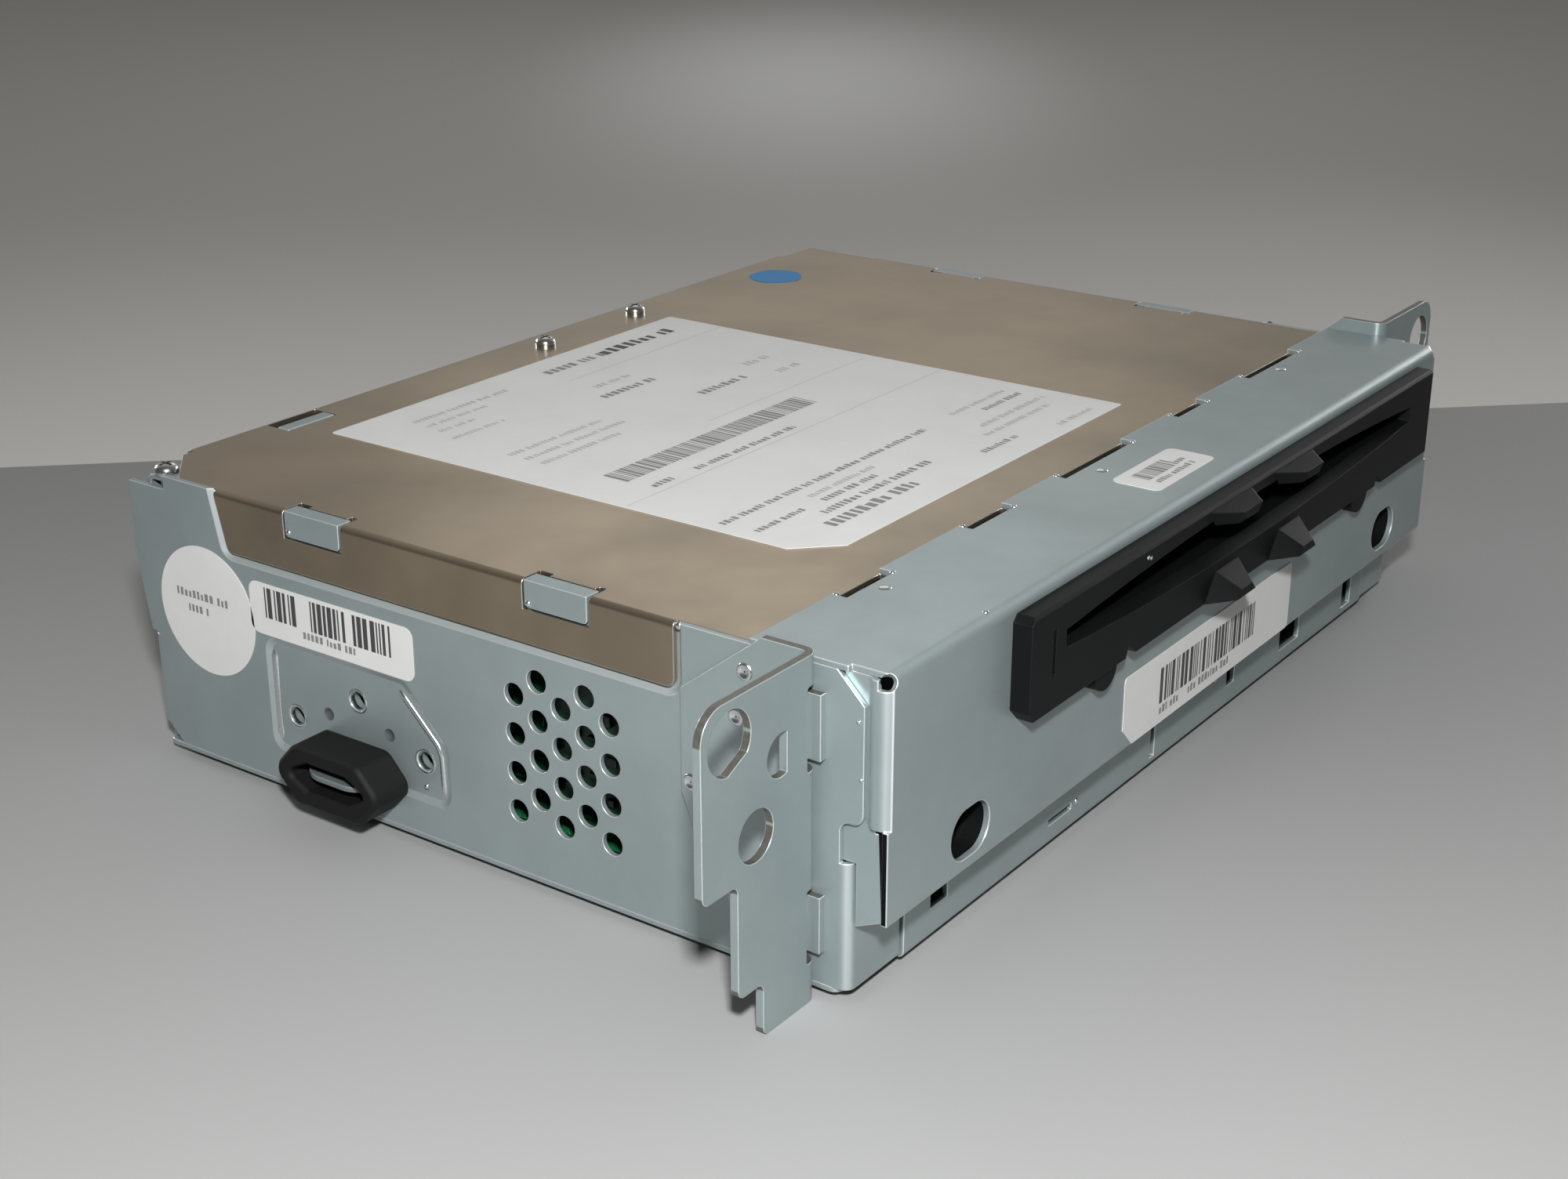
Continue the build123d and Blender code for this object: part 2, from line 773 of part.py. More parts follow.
def slot_bezel():
    """The moulded slot frame: face plate, duct, lugs, wedge guides and funnel."""
    x0 = slot_x - bezel_left
    x1 = slot_x + bezel_right
    face = outline((x0 + bezel_chamfer, bezel_low), (x1, bezel_low), (x1, bezel_top),
                   (x0 + 1, bezel_top), (x0, bezel_top - 1), (x0, bezel_low + bezel_chamfer))
    for peg in (peg_left, peg_right):
        right = peg + peg_radius
        face -= outline((right, bezel_low - 1), (right + 1.2, bezel_low + peg_notch),
                        (right + 4.5, bezel_low), (right + 4.5, bezel_low - 1))
    bezel = slab_y(face, -bezel_proud, bezel_proud)
    bezel = chamfer(bezel.edges().group_by(Axis.Y)[0].filter_by(Axis.X), bezel_edge)
    duct_half = slot_width / 2 + duct_wall
    duct_tall = slot_height / 2 + slot_crown + duct_wall
    bezel += block(slot_x - duct_half, slot_x + duct_half, -0.5, duct_depth,
                   slot_z - duct_tall, slot_z + duct_tall)
    for peg in (peg_left, peg_right):
        bezel += rod(peg_radius, (peg, 1 - bezel_proud, bezel_low + peg_drop), bezel_proud - 1, "y")
    for side in (-1, 1):
        middle = slot_x + side * wedge_spread
        for base, tip in ((bezel_low + 0.4, 1), (bezel_top - 0.6, -1)):
            bezel += wedge(middle, base, tip)
    bezel -= slab_y(slot_area(0, slot_crown), -20, 40)
    funnel = loft([Plane.XZ.offset(bezel_proud) * slot_area(slot_funnel, slot_funnel_crown),
                   Plane.XZ.offset(bezel_proud - 2) * slot_area(0, slot_crown)])
    bezel -= funnel
    slit = Pos(x0 + slit_x, slot_z - slit_drop) * Rectangle(slit_width, 2 * slit_half)
    bezel -= slab_y(slit, -bezel_proud - 1, 1 + slit_cut)
    return bezel


def wedge(middle, base, tip):
    """A pyramid-shaped disc guide that stands out of the bezel beside the slot."""
    wide = wedge_width / 2
    foot = [(middle - wide, base), (middle + wide, base),
            (middle + wide * 0.55, base + tip * wedge_height),
            (middle - wide * 0.55, base + tip * wedge_height)]
    peak = [(middle - wide * 0.42, base + tip * 0.3), (middle + wide * 0.42, base + tip * 0.3),
            (middle + wide * 0.25, base + tip * 1.6), (middle - wide * 0.25, base + tip * 1.6)]
    return loft([Plane.XZ.offset(bezel_proud - 0.4) * outline(*foot),
                 Plane.XZ.offset(bezel_proud + wedge_reach) * outline(*peak)])


def slot_felts():
    """Two felt strips behind the duct, above and below the disc's way in."""
    group = Part()
    wide = slot_width / 2 - 1
    low = slot_z - slot_height / 2 - slot_crown
    high = slot_z + slot_height / 2 + slot_crown
    for z0 in (low - felt_thick, high):
        group += block(slot_x - wide, slot_x + wide, duct_depth, duct_depth + felt_depth,
                       z0, z0 + felt_thick)
    return group


def ear_bracket(top):
    """The left ear: a flange on the side plate and a face that stands out sideways."""
    section = strip([(-half - ear_reach, ear_y), (-half, ear_y), (-half, ear_flange_end)],
                    ear_steel, ear_bend, Side.LEFT)
    bracket = slab_z(section, floor_z, top - floor_z)
    face = outline((half - 4, floor_z), (half + ear_tip_reach, floor_z),
                   (half + ear_tip_reach, ear_step_low), (half + ear_mid_reach, ear_step_low),
                   (half + ear_mid_reach, ear_step_high), (half + ear_reach, ear_step_high),
                   (half + ear_reach, top), (half - 4, top))
    rounded = face.vertices().sort_by(Axis.X)
    steps = [vertex for vertex in rounded if vertex.X > half and vertex.Y < top - 1]
    face = fillet(steps, ear_fillet)
    corner = face.vertices().sort_by(Axis.X).sort_by(Axis.Y)
    corner = [vertex for vertex in corner if vertex.X > half + 2 and vertex.Y > top - 1]
    face = fillet(corner, ear_corner)
    dee = Pos(half + dee_x, dee_z) * (Circle(dee_radius)
                                      - Rot(0, 0, -115) * area(dee_flat, 9, -9, 9))
    slotted = Pos(half + slotted_x, slotted_z) * (Circle(slotted_radius)
                                                  - area(-9, -slotted_flat, -9, 9))
    face -= dee
    face -= slotted
    face -= Pos(half + mount_x, mount_z) * Circle(mount_radius)
    for low, high in (ear_window_low, ear_window_high):
        face -= area(half - 5, half + ear_window_width, low, high, 0.5)
    keep = slab_y(mirror(face, about=Plane.YZ), ear_y - 2, ear_steel + ear_bend + 2)
    flange = outline((ear_y + ear_bend, floor_z), (16, 2), (27, 11), (ear_flange_end, 22),
                     (ear_flange_end, 37), (ear_flange_mid, top - 1.2),
                     (ear_flange_mid - 1.5, top), (ear_y + ear_bend, top))
    keep += slab_x(flange, -half - 2 * ear_steel, 3 * ear_steel)
    bracket = bracket & keep
    for low, high in (ear_window_low, ear_window_high):
        bracket += block(-half - ear_steel, -half, ear_y - ear_tab_front, ear_y + ear_bend + 1,
                         low + ear_tab_gap, high - ear_tab_gap)
    return bracket


def post_places():
    """Centres of the four posts that carry the deck."""
    places = []
    for x in (deck_left + post_inset, deck_right - post_inset):
        for y in (post_front_y, post_rear_y):
            places.append((x, y))
    return places


def bottom_cover():
    """The base: a flat sheet with a notched lip at the front and seats for the board."""
    lip_half = half - corner_return - 0.5
    profile = strip([(30, -steel), (lip_y, -steel), (lip_y, lip_height)],
                    steel, bend_small, Side.RIGHT)
    base = Pos(-lip_half, 0, 0) * extrude(Plane.YZ * profile, 2 * lip_half)
    floor = area(-half, half, corner_setback + bend_radius, case_depth - 1.0, 1.5)
    base += slab_z(floor, -steel, steel)
    for start, end, low in lip_notches:
        base -= block(-lip_half + start, -lip_half + end, lip_y - 2, lip_y + bend_small,
                      low, lip_height + 1)
    slot = Pos(lip_slot, lip_slot_z) * Rectangle(2 * lip_slot_half, 1.0)
    base -= slab_y(slot, lip_y - 2, 5)
    for x in (-standoff_x, standoff_x):
        for y in (standoff_front_y, standoff_rear_y):
            base += rod(standoff_radius, (x, y, 0), board_z, "z")
    for x, y in foot_places():
        base -= rod(stem_radius, (x, y, -steel - 1), steel + 2, "z")
    return base


def foot_places():
    """Centres of the four rubber feet."""
    places = []
    for x in (-foot_x, foot_x):
        for y in (foot_front_y, foot_rear_y):
            places.append((x, y))
    return places


def rubber_feet():
    group = Part()
    for x, y in foot_places():
        pad = rod(foot_radius, (x, y, floor_z), foot_height, "z")
        pad = chamfer(pad.edges().group_by(Axis.Z)[0], 0.4)
        group += pad + rod(stem_radius, (x, y, -steel), steel, "z")
    return group


def rear_panel():
    """The rear wall with a flange under the cover and cut-outs for the sockets."""
    wide = half - steel - rear_panel_gap
    outer = case_depth - steel - sheet_gap
    top = cover_low - sheet_gap
    profile = strip([(outer - rear_flange, top), (outer, top), (outer, sheet_gap)],
                    steel, bend_radius, Side.RIGHT)
    panel = Pos(-wide, 0, 0) * extrude(Plane.YZ * profile, 2 * wide)
    plug_low = board_z + board_thick
    gap = cutout_gap
    panel -= block(plug_x - plug_width / 2 - gap, plug_x + plug_width / 2 + gap, outer - 2, outer + 1,
                   plug_low - gap, plug_low + plug_height + gap)
    for index in range(coax_count):
        x = coax_x + index * coax_pitch
        panel -= block(x - coax_size / 2 - gap, x + coax_size / 2 + gap, outer - 2, outer + 1,
                       plug_low - gap, plug_low + coax_size + gap)
    for row in range(rear_vent_rows):
        for column in range(rear_vent_columns):
            x = (column - (rear_vent_columns - 1) / 2) * rear_vent_pitch_x
            z = top - rear_vent_drop - row * rear_vent_pitch_z
            slot = Pos(x, z) * SlotOverall(rear_vent_length, rear_vent_width)
            panel -= slab_y(slot, outer - 2, 4)
    panel -= block(*rear_tab, case_depth - rear_tab_rear, case_depth, top - 2.5, top + 1)
    panel += block(*rear_tab, case_depth - rear_tab_front, case_depth - rear_tab_rear,
                   top - 0.1, case_height)
    for x, y, seat in cover_screw_places():
        panel -= rod(screw_stem + 0.1, (x, y, top - 2), 4, "z")
    return panel


def rear_plug():
    """The multi-pin block: a moulded shell with a cavity and two rows of pins."""
    low = board_z + board_thick
    back = case_depth - plug_depth + socket_reach
    mouth = case_depth + socket_reach
    shell = block(plug_x - plug_width / 2, plug_x + plug_width / 2, back, mouth,
                  low, low + plug_height)
    shell -= block(plug_x - plug_width / 2 + plug_wall, plug_x + plug_width / 2 - plug_wall,
                   back + plug_floor, mouth + 1, low + plug_wall, low + plug_height - plug_wall)
    key = block(plug_x - plug_key_half, plug_x + plug_key_half, back + plug_floor, mouth,
                low + plug_height, low + plug_height + plug_key_rise)
    return shell + key


def plug_pins_group():
    """Two rows of square contact pins inside the block."""
    group = Part()
    low = board_z + board_thick
    back = case_depth - plug_depth + socket_reach + plug_floor
    span = plug_width - 2 * plug_wall - 6
    for row in (1, 2):
        z = low + row * plug_height / 3
        for index in range(plug_pins):
            x = plug_x - span / 2 + index * span / (plug_pins - 1)
            group += block(x - pin_size / 2, x + pin_size / 2, back, back + 3,
                           z - pin_size / 2, z + pin_size / 2)
    return group


def coax_sockets():
    """Square moulded sockets with a round bore."""
    group = Part()
    low = board_z + board_thick
    back = case_depth - coax_depth
    mouth = case_depth + socket_reach
    for index in range(coax_count):
        x = coax_x + index * coax_pitch
        socket = block(x - coax_size / 2, x + coax_size / 2, back, mouth, low, low + coax_size)
        socket -= rod(coax_bore, (x, back + coax_floor, low + coax_size / 2), 20, "y")
        socket += rod(coax_pin, (x, back + coax_floor - 0.5, low + coax_size / 2), 4, "y")
        group += socket
    return group


def main_board():
    board = slab_z(area(-board_half, board_half, board_front, board_rear, 2.0), board_z, board_thick)
    for x, y in post_places():
        board -= rod(post_radius + 0.6, (x, y, board_z - 1), board_thick + 2, "z")
    return board


def capacitors():
    """Standing can capacitors, most of them behind the vents."""
    top = board_z + board_thick
    group = Part()
    for x, y, radius, height in can_sizes:
        can = rod(radius, (x, y, top), height, "z")
        group += chamfer(can.edges().group_by(Axis.Z)[-1], 0.5)
    return group


def board_chips():
    """Moulded integrated circuits of the board."""
    top = board_z + board_thick
    group = Part()
    for x, y, wide, deep, tall in chip_sizes:
        chip = block(x - wide / 2, x + wide / 2, y - deep / 2, y + deep / 2, top, top + tall)
        group += chamfer(chip.edges().group_by(Axis.Z)[-1], 0.4)
    return group


def ribbon_cable():
    """The flat flex between the deck and the board, in one S fold."""
    start = board_z + board_thick
    low = start + (deck_z - start) / 3
    high = deck_z - (deck_z - start) / 4
    line = [(turntable_y, start), (turntable_y, low), (turntable_y + ribbon_fold, low),
            (turntable_y + ribbon_fold, high), (turntable_y + 4, high), (turntable_y + 4, deck_z)]
    section = strip(line, ribbon_thick, ribbon_bend, Side.LEFT)
    return Pos(slot_x + ribbon_x, 0, 0) * extrude(Plane.YZ * section, ribbon_width)


def drive_deck():
    """The pressed base of the mechanism: a channel with wells for the arm and the sled."""
    section = strip([(deck_left, bay_top), (deck_left, deck_z), (deck_right, deck_z),
                     (deck_right, bay_top)], deck_steel, 1.5, Side.LEFT)
    deck = slab_y(section, deck_front, deck_rear - deck_front)
    well = deck_half - 2.5
    deck -= block(slot_x - well, slot_x + well, deck_front + tie_depth, arm_well_rear,
                  deck_z - 1, deck_z + deck_steel + 0.5)
    deck -= block(slot_x - sled_half - 1.5, slot_x + sled_half + 1.5, rod_front + lug_depth,
                  rod_rear - lug_depth, deck_z - 1, deck_z + 2)
    deck -= rod(motor_radius - 3, (slot_x, turntable_y, deck_z - 1), 4, "z")
    for side in (-1, 1):
        x = slot_x + side * rod_x
        for y in (rod_front, rod_rear - lug_depth):
            deck += block(x - 2.8, x + 2.8, y, y + lug_depth, sled_low, deck_z)
            deck -= rod(rod_radius + running_gap, (x, y - 0.5, rod_z), lug_depth + 1, "y")
    for x, y in post_places():
        deck -= rod(damper_radius - 1.5, (x, y, deck_z - 1), 4, "z")
    pin_bore = arm_pin_radius + running_gap
    deck -= rod(pin_bore, (deck_left - 2, arm_pivot_y, arm_pivot_z), 2 * deck_half + 4, "x")
    slot = area(roller_y - 2.2, roller_y + 2.8, roller_z - 2, roller_z + 6, 1.5)
    deck -= slab_x(slot, deck_left - 1, 3)
    deck -= rod(1.6, (slot_x - feed_x() - feed_reach(), feed_y, deck_z - 1), 4, "z")
    return deck


def feed_x():
    """Distance of the feed gear's centre to the left of the spindle."""
    return sled_half + 2.6 + rack_bar + pinion_teeth * module / 2 + mesh_gap


def feed_reach():
    """Distance between the feed gear and the motor pinion."""
    return (feed_teeth + motor_teeth) * module / 2 + mesh_gap


def deck_posts():
    group = Part()
    for x, y in post_places():
        group += rod(post_radius, (x, y, 0), deck_top + 1.5, "z")
    return group


def rubber_dampers():
    """Waisted rubber rings held in the deck's holes round the posts."""
    group = Part()
    neck = damper_radius - 1.6
    for x, y in post_places():
        low = deck_z - (damper_height - deck_steel) + 1.6
        profile = outline((post_radius + 0.05, low), (damper_radius, low), (damper_radius, deck_z - 0.1),
                          (neck, deck_z - 0.1), (neck, deck_top + 0.1), (damper_radius, deck_top + 0.1),
                          (damper_radius, deck_top + 1.2), (post_radius + 0.05, deck_top + 1.2))
        group += Pos(x, y, 0) * revolve(Plane.XZ * profile, Axis.Z)
    return group


def guide_plate():
    """The sheet over the disc bay, with lugs for the clamp arm's pin."""
    plate = slab_z(area(deck_left, deck_right, deck_front, deck_rear, 2.0), bay_top, guide_steel)
    plate -= block(slot_x - clamp_window, slot_x + clamp_window, turntable_y - 22, clamp_pin_y + 3.4,
                   bay_top - 1, bay_top + 2)
    for side in (-1, 1):
        x = slot_x + side * (clamp_window + 0.8)
        lug = area(clamp_pin_y - 2.4, clamp_pin_y + 2.4, bay_top, clamp_pin_z + 1.3)
        plate += slab_x(lug, x - 0.8, 1.6)
        plate -= rod(clamp_pin_radius + running_gap, (x - 1, clamp_pin_y, clamp_pin_z), 2, "x")
        for y in (turntable_y - guide_slot_reach, turntable_y + guide_slot_reach):
            slotted = SlotOverall(guide_slot_length, guide_slot_width)
            hole = Pos(slot_x + side * guide_slot_x, y) * slotted
            plate -= slab_z(hole, bay_top - 1, 3)
    return plate


def clamp_pin():
    reach = clamp_window + 1.6
    return rod(clamp_pin_radius, (slot_x - reach, clamp_pin_y, clamp_pin_z), 2 * reach, "x")


def clamp_arm():
    """The tapering arm over the disc, with two barrels on the pin."""
    low = clamp_pin_z - clamp_arm_steel / 2
    wide = clamp_arm_half
    rim = [(-wide, clamp_pin_y + 1), (-wide, clamp_pin_y - clamp_shoulder),
           (-clamp_neck_half, turntable_y - clamp_neck_lead),
           (-clamp_tip_half, turntable_y - clamp_tip_lead)]
    face = Pos(slot_x, 0) * outline(*rim, *[(-x, y) for x, y in reversed(rim)])
    face -= Pos(slot_x, turntable_y) * Circle(puck_neck + 0.3)
    window = SlotOverall(clamp_slot_length, clamp_slot_width, rotation=90)
    face -= Pos(slot_x, clamp_pin_y - clamp_slot_lead) * window
    arm = slab_z(face, low, clamp_arm_steel)
    for side in (-1, 1):
        start = slot_x + side * clamp_neck_half - clamp_barrel_length / 2
        arm += rod(clamp_pin_radius + 0.5, (start, clamp_pin_y, clamp_pin_z),
                   clamp_barrel_length, "x")
    arm -= rod(clamp_pin_radius + running_gap, (slot_x - wide - 1, clamp_pin_y, clamp_pin_z),
               2 * wide + 2, "x")
    inner = clamp_neck_half - clamp_barrel_length / 2
    outer = clamp_neck_half + clamp_barrel_length / 2
    for x0, x1 in ((-inner, inner), (outer, wide + 1), (-wide - 1, -outer)):
        arm -= block(slot_x + x0, slot_x + x1, clamp_pin_y - clamp_barrel_notch, clamp_pin_y + 2,
                     low - 1, low + 3)
    return arm


def clamp_puck():
    """The round clamp that floats in the arm and turns with the disc."""
    low = bay_top + 0.1
    arm_low = clamp_pin_z - clamp_arm_steel / 2
    arm_high = arm_low + clamp_arm_steel
    puck = rod(puck_radius, (slot_x, turntable_y, low), puck_thick, "z")
    puck += rod(puck_neck, (slot_x, turntable_y, low), arm_high + 0.2 - low, "z")
    puck += rod(puck_cap, (slot_x, turntable_y, arm_high + 0.2), 0.5, "z")
    puck -= rod(2.0, (slot_x, turntable_y, low - 1), 1.8, "z")
    return chamfer(puck.edges().group_by(Axis.Z)[0].filter_by(GeomType.CIRCLE).sort_by(
        SortBy.RADIUS)[-1], 0.3)


def disc_guides():
    """Plastic rails along both sides of the disc bay, with a lead-in at the front."""
    group = Part()
    for side in (-1, 1):
        outer = slot_x + side * (deck_half - deck_steel - rail_gap)
        inner = slot_x + side * (deck_half - deck_steel - rail_width)
        face = outline((outer, rail_front), (inner + side * 2.4, rail_front),
                       (inner, rail_front + 9), (inner, rail_rear), (outer, rail_rear))
        rail = slab_z(face, rail_low, bay_top - rail_low - 0.05)
        group += rail
    return group


def spindle_motor():
    """The stator under the deck, with the bearing for the spindle."""
    base = rod(motor_radius, (slot_x, turntable_y, deck_z - motor_height), motor_height, "z")
    base = chamfer(base.edges().group_by(Axis.Z)[0], 1.0)
    base += rod(bearing_radius, (slot_x, turntable_y, deck_z - 0.5), deck_steel + 1.0, "z")
    return base - rod(spindle_radius + running_gap, (slot_x, turntable_y, deck_z - motor_height + 1),
                      20, "z")


def turntable():
    """The rotor with the disc seat and the tapered centring boss."""
    low = deck_top + rotor_lift
    table = rod(rotor_radius, (slot_x, turntable_y, low), rotor_rim, "z")
    table += rod(rotor_radius - rotor_step, (slot_x, turntable_y, low), disc_seat_z - low, "z")
    boss = Pos(slot_x, turntable_y, disc_seat_z) * Cone(
        boss_radius, boss_radius - boss_taper, boss_height,
        align=(Align.CENTER, Align.CENTER, Align.MIN))
    table += boss
    table += rod(spindle_radius, (slot_x, turntable_y, deck_z - motor_height + 1.2),
                 low - deck_z + motor_height - 1.2, "z")
    for index in range(rotor_pockets):
        turn = Pos(slot_x, turntable_y, 0) * Rot(0, 0, index * 360 / rotor_pockets)
        table -= turn * block(pocket_inner, pocket_outer, -pocket_half, pocket_half,
                              disc_seat_z - pocket_depth, disc_seat_z + 1)
    return table


def guide_rods():
    group = Part()
    for side in (-1, 1):
        group += rod(rod_radius, (slot_x + side * rod_x, rod_front, rod_z), rod_rear - rod_front, "y")
    return group


def pickup_sled():
    """The moulded carriage on two rods, with the rack along its left side."""
    middle = turntable_y + sled_start
    y0 = middle - sled_length / 2
    y1 = middle + sled_length / 2
    sled = block(slot_x - sled_half, slot_x + sled_half, y0, y1, sled_low, sled_high)
    sled = fillet(sled.edges().filter_by(Axis.Z), 1.5)
    sled -= block(slot_x - 7, slot_x + 7, y0 + 3, y1 - 3, sled_high - 2.5, sled_high + 1)
    for side in (-1, 1):
        sled -= rod(rod_radius + running_gap, (slot_x + side * rod_x, y0 - 1, rod_z),
                    sled_length + 2, "y")
        pocket = slot_x + side * 14
        sled -= block(pocket - 2, pocket + 2, y0 + 3, y1 - 3, rod_z + 2.4, sled_high + 1)
    bar_left = slot_x - sled_half - 2.6 - rack_bar
    root_x = bar_left + 1.15 * module
    tip_x = bar_left - 0.9 * module
    rack = block(root_x, bar_left + rack_bar, rack_start(), rack_start() + rack_length(),
                 rack_z, rack_z + rack_height)
    rack += block(root_x, slot_x - sled_half + 1, y0 + 2, y0 + 8, rack_z, rack_z + rack_height - 0.6)
    for tooth in range(rack_teeth()):
        y = feed_y - (tooth - rack_lead()) * tooth_pitch + tooth_pitch / 2
        root = tooth_pitch * tooth_root
        tip = tooth_pitch * tooth_tip
        face = outline((root_x + 0.1, y - root), (tip_x, y - tip),
                       (tip_x, y + tip), (root_x + 0.1, y + root))
        rack += slab_z(face, rack_z, rack_height)
    return sled + rack


def rack_lead():
    """Teeth of the rack in front of the feed pinion at rest, counted towards the rear."""
    return 3


def rack_teeth():
    """Teeth that the rack needs for the sled's whole travel."""
    return math.ceil(sled_travel / tooth_pitch) + 2 * rack_lead()


def rack_start():
    return feed_y - (rack_teeth() - rack_lead()) * tooth_pitch


def rack_length():
    return rack_teeth() * tooth_pitch + 1.0


def pickup_lens():
    """The lens turret in the sled's well."""
    middle = turntable_y + sled_start
    base = sled_high - 2.5
    turret = block(slot_x - 6, slot_x + 6, middle - 4, middle + 4, base, base + 2.2)
    turret = chamfer(turret.edges().group_by(Axis.Z)[-1], 0.5)
    top = base + 2.0 + lens_rise
    turret += rod(lens_radius, (slot_x, middle, base + 2.0), lens_rise, "z")
    turret -= rod(lens_radius - 1.0, (slot_x, middle, top - 0.6), 1, "z")
    dome = Pos(slot_x, middle, top - 0.2 - lens_radius) * Sphere(lens_radius)
    return turret + (dome & rod(lens_radius - 1.0, (slot_x, middle, top - 0.7), 1, "z"))


def feed_gear():
    """The compound gear between the motor pinion and the rack."""
    x = slot_x - feed_x()
    small = gear_face_of(pinion_teeth, stud_radius + running_gap)
    large_phase = mesh_phase(0, motor_teeth, 0, feed_teeth)
    large = gear_face_of(feed_teeth, stud_radius + running_gap, large_phase)
    gear = Pos(x, feed_y, rack_z) * extrude(small, gear_face + 0.2)
    gear += Pos(x, feed_y, rack_z + gear_face + 0.2) * extrude(large, 1.2)
    return gear


def feed_pinion():
    """The pinion on the feed motor's shaft."""
    x = slot_x - feed_x() - feed_reach()
    face = gear_face_of(motor_teeth, 0.45)
    pinion = Pos(x, feed_y, rack_z + gear_face) * extrude(face, 1.6)
    shaft = rod(0.5, (x, feed_y, deck_z - 2), rack_z + gear_face + 1.6 - deck_z + 2, "z")
    return pinion + shaft


def feed_motor():
    x = slot_x - feed_x() - feed_reach()
    can = rod(feed_motor_radius, (x, feed_y, deck_z - feed_motor_height), feed_motor_height, "z")
    can = chamfer(can.edges().group_by(Axis.Z)[0], 0.8)
    return can - rod(0.5 + running_gap, (x, feed_y, deck_z - 3), 5, "z")


def swing(y, z, angle):
    """Where a point of the roller arm comes when the arm is raised by an angle."""
    turn = math.radians(angle)
    dy = y - arm_pivot_y
    dz = z - arm_pivot_z
    return (arm_pivot_y + dy * math.cos(turn) + dz * math.sin(turn),
            arm_pivot_z - dy * math.sin(turn) + dz * math.cos(turn))


def train_places():
    """Centres in (y, z) of the transfer gear, the compound gear and the motor pinion."""
    y, z = swing(roller_y, roller_z, arm_swing)
    steps = ((transfer_angle, roller_teeth + transfer_teeth, engage_gap),
             (compound_angle, transfer_teeth + pinion_teeth, mesh_gap),
             (loading_motor_angle, compound_teeth + motor_teeth, mesh_gap))
    places = []
    for angle, teeth, gap in steps:
        reach = teeth * module / 2 + gap
        y += reach * math.cos(math.radians(angle))
        z += reach * math.sin(math.radians(angle))
        places.append((y, z))
    return places


def roller_arm():
    """Two cheeks and a cross bar that carry the roller, with pivot stubs at the rear."""
    arm = Part()
    inner = deck_half - deck_steel - arm_inset
    for side in (-1, 1):
        x0 = slot_x + side * inner - arm_steel / 2
        hull = make_hull([(Pos(roller_y, roller_z) * Circle(arm_nose)).edge(),
                          (Pos(arm_pivot_y, arm_pivot_z) * Circle(arm_heel)).edge(),
                          (Pos(arm_bar_y, arm_bar_z + 1.1) * Circle(arm_knee)).edge()])
        cheek = slab_x(hull, x0, arm_steel)
        stub_start = x0 if side > 0 else x0 - arm_stub
        cheek += rod(arm_pin_radius, (stub_start, arm_pivot_y, arm_pivot_z),
                     arm_stub + arm_steel, "x")
        cheek -= rod(shaft_radius + running_gap, (x0 - 1, roller_y, roller_z), 3, "x")
        arm += cheek
    bar_front = arm_bar_y - arm_bar_depth / 2
    arm += block(slot_x - inner, slot_x + inner, bar_front, bar_front + arm_bar_depth,
                 arm_bar_z - arm_steel / 2, arm_bar_z + arm_steel / 2)
    return arm


def roller_shaft():
    start = deck_left - 3.6
    end = slot_x + deck_half - deck_steel - arm_inset + 1.2
    return rod(shaft_radius, (start, roller_y, roller_z), end - start, "x")


def loading_roller():
    """The rubber roller, thinner in the middle so that only the disc's edges touch it."""
    bore = shaft_radius + seat_gap
    profile = outline((slot_x - roller_half, bore), (slot_x - roller_half, roller_radius),
                      (slot_x - 8, roller_waist), (slot_x + 8, roller_waist),
                      (slot_x + roller_half, roller_radius), (slot_x + roller_half, bore))
    return Pos(0, roller_y, roller_z) * revolve(Plane.XZ * profile, Axis.X)


def x_gear(teeth, bore, phase, y, z, x, face):
    """A gear on an axis along X, its outline turned by phase in (y, z)."""
    return Pos(x, y, z) * extrude(Plane.YZ * gear_face_of(teeth, bore, phase), face)


def gear_planes():
    """The x values of the inner and the outer gear plane of the loading train."""
    return deck_left - 3.4, deck_left - 6.2


def train_phases():
    """Phases of the transfer gear, the compound gear's two wheels and the motor pinion."""
    transfer = mesh_phase(transfer_angle, roller_teeth, transfer_angle, transfer_teeth)
    small = mesh_phase(transfer, transfer_teeth, compound_angle, pinion_teeth)
    motor = mesh_phase(small, compound_teeth, loading_motor_angle, motor_teeth)
    return transfer, small, motor


def roller_gear():
    """The gear on the roller's shaft, which reaches the train only when the arm is up.

    Its teeth are slim and lead a little, so that they slide into the transfer gear's gaps.
    """
    inner_plane, outer_plane = gear_planes()
    phase = transfer_angle + engage_lead + arm_swing
    face = gear_face_of(roller_teeth, shaft_radius + seat_gap, phase, slim_root, slim_tip)
    return Pos(inner_plane, roller_y, roller_z) * extrude(Plane.YZ * face, 2.0)


def transfer_gear():
    y, z = train_places()[0]
    inner_plane, outer_plane = gear_planes()
    return x_gear(transfer_teeth, stud_radius + running_gap, train_phases()[0], y, z, inner_plane, 2.0)


def compound_gear():
    y, z = train_places()[1]
    inner_plane, outer_plane = gear_planes()
    phase = train_phases()[1]
    small = x_gear(pinion_teeth, stud_radius + running_gap, phase, y, z, inner_plane - 0.3, 2.3)
    large = x_gear(compound_teeth, stud_radius + running_gap, phase, y, z, outer_plane, 2.5)
    return small + large


def loading_pinion():
    y, z = train_places()[2]
    inner_plane, outer_plane = gear_planes()
    pinion = x_gear(motor_teeth, 0.45, train_phases()[2], y, z, outer_plane + 0.2, 2.2)
    shaft = rod(0.5, (deck_left - bracket_reach - 3, y, z), bracket_reach - 1.6, "x")
    return pinion + shaft


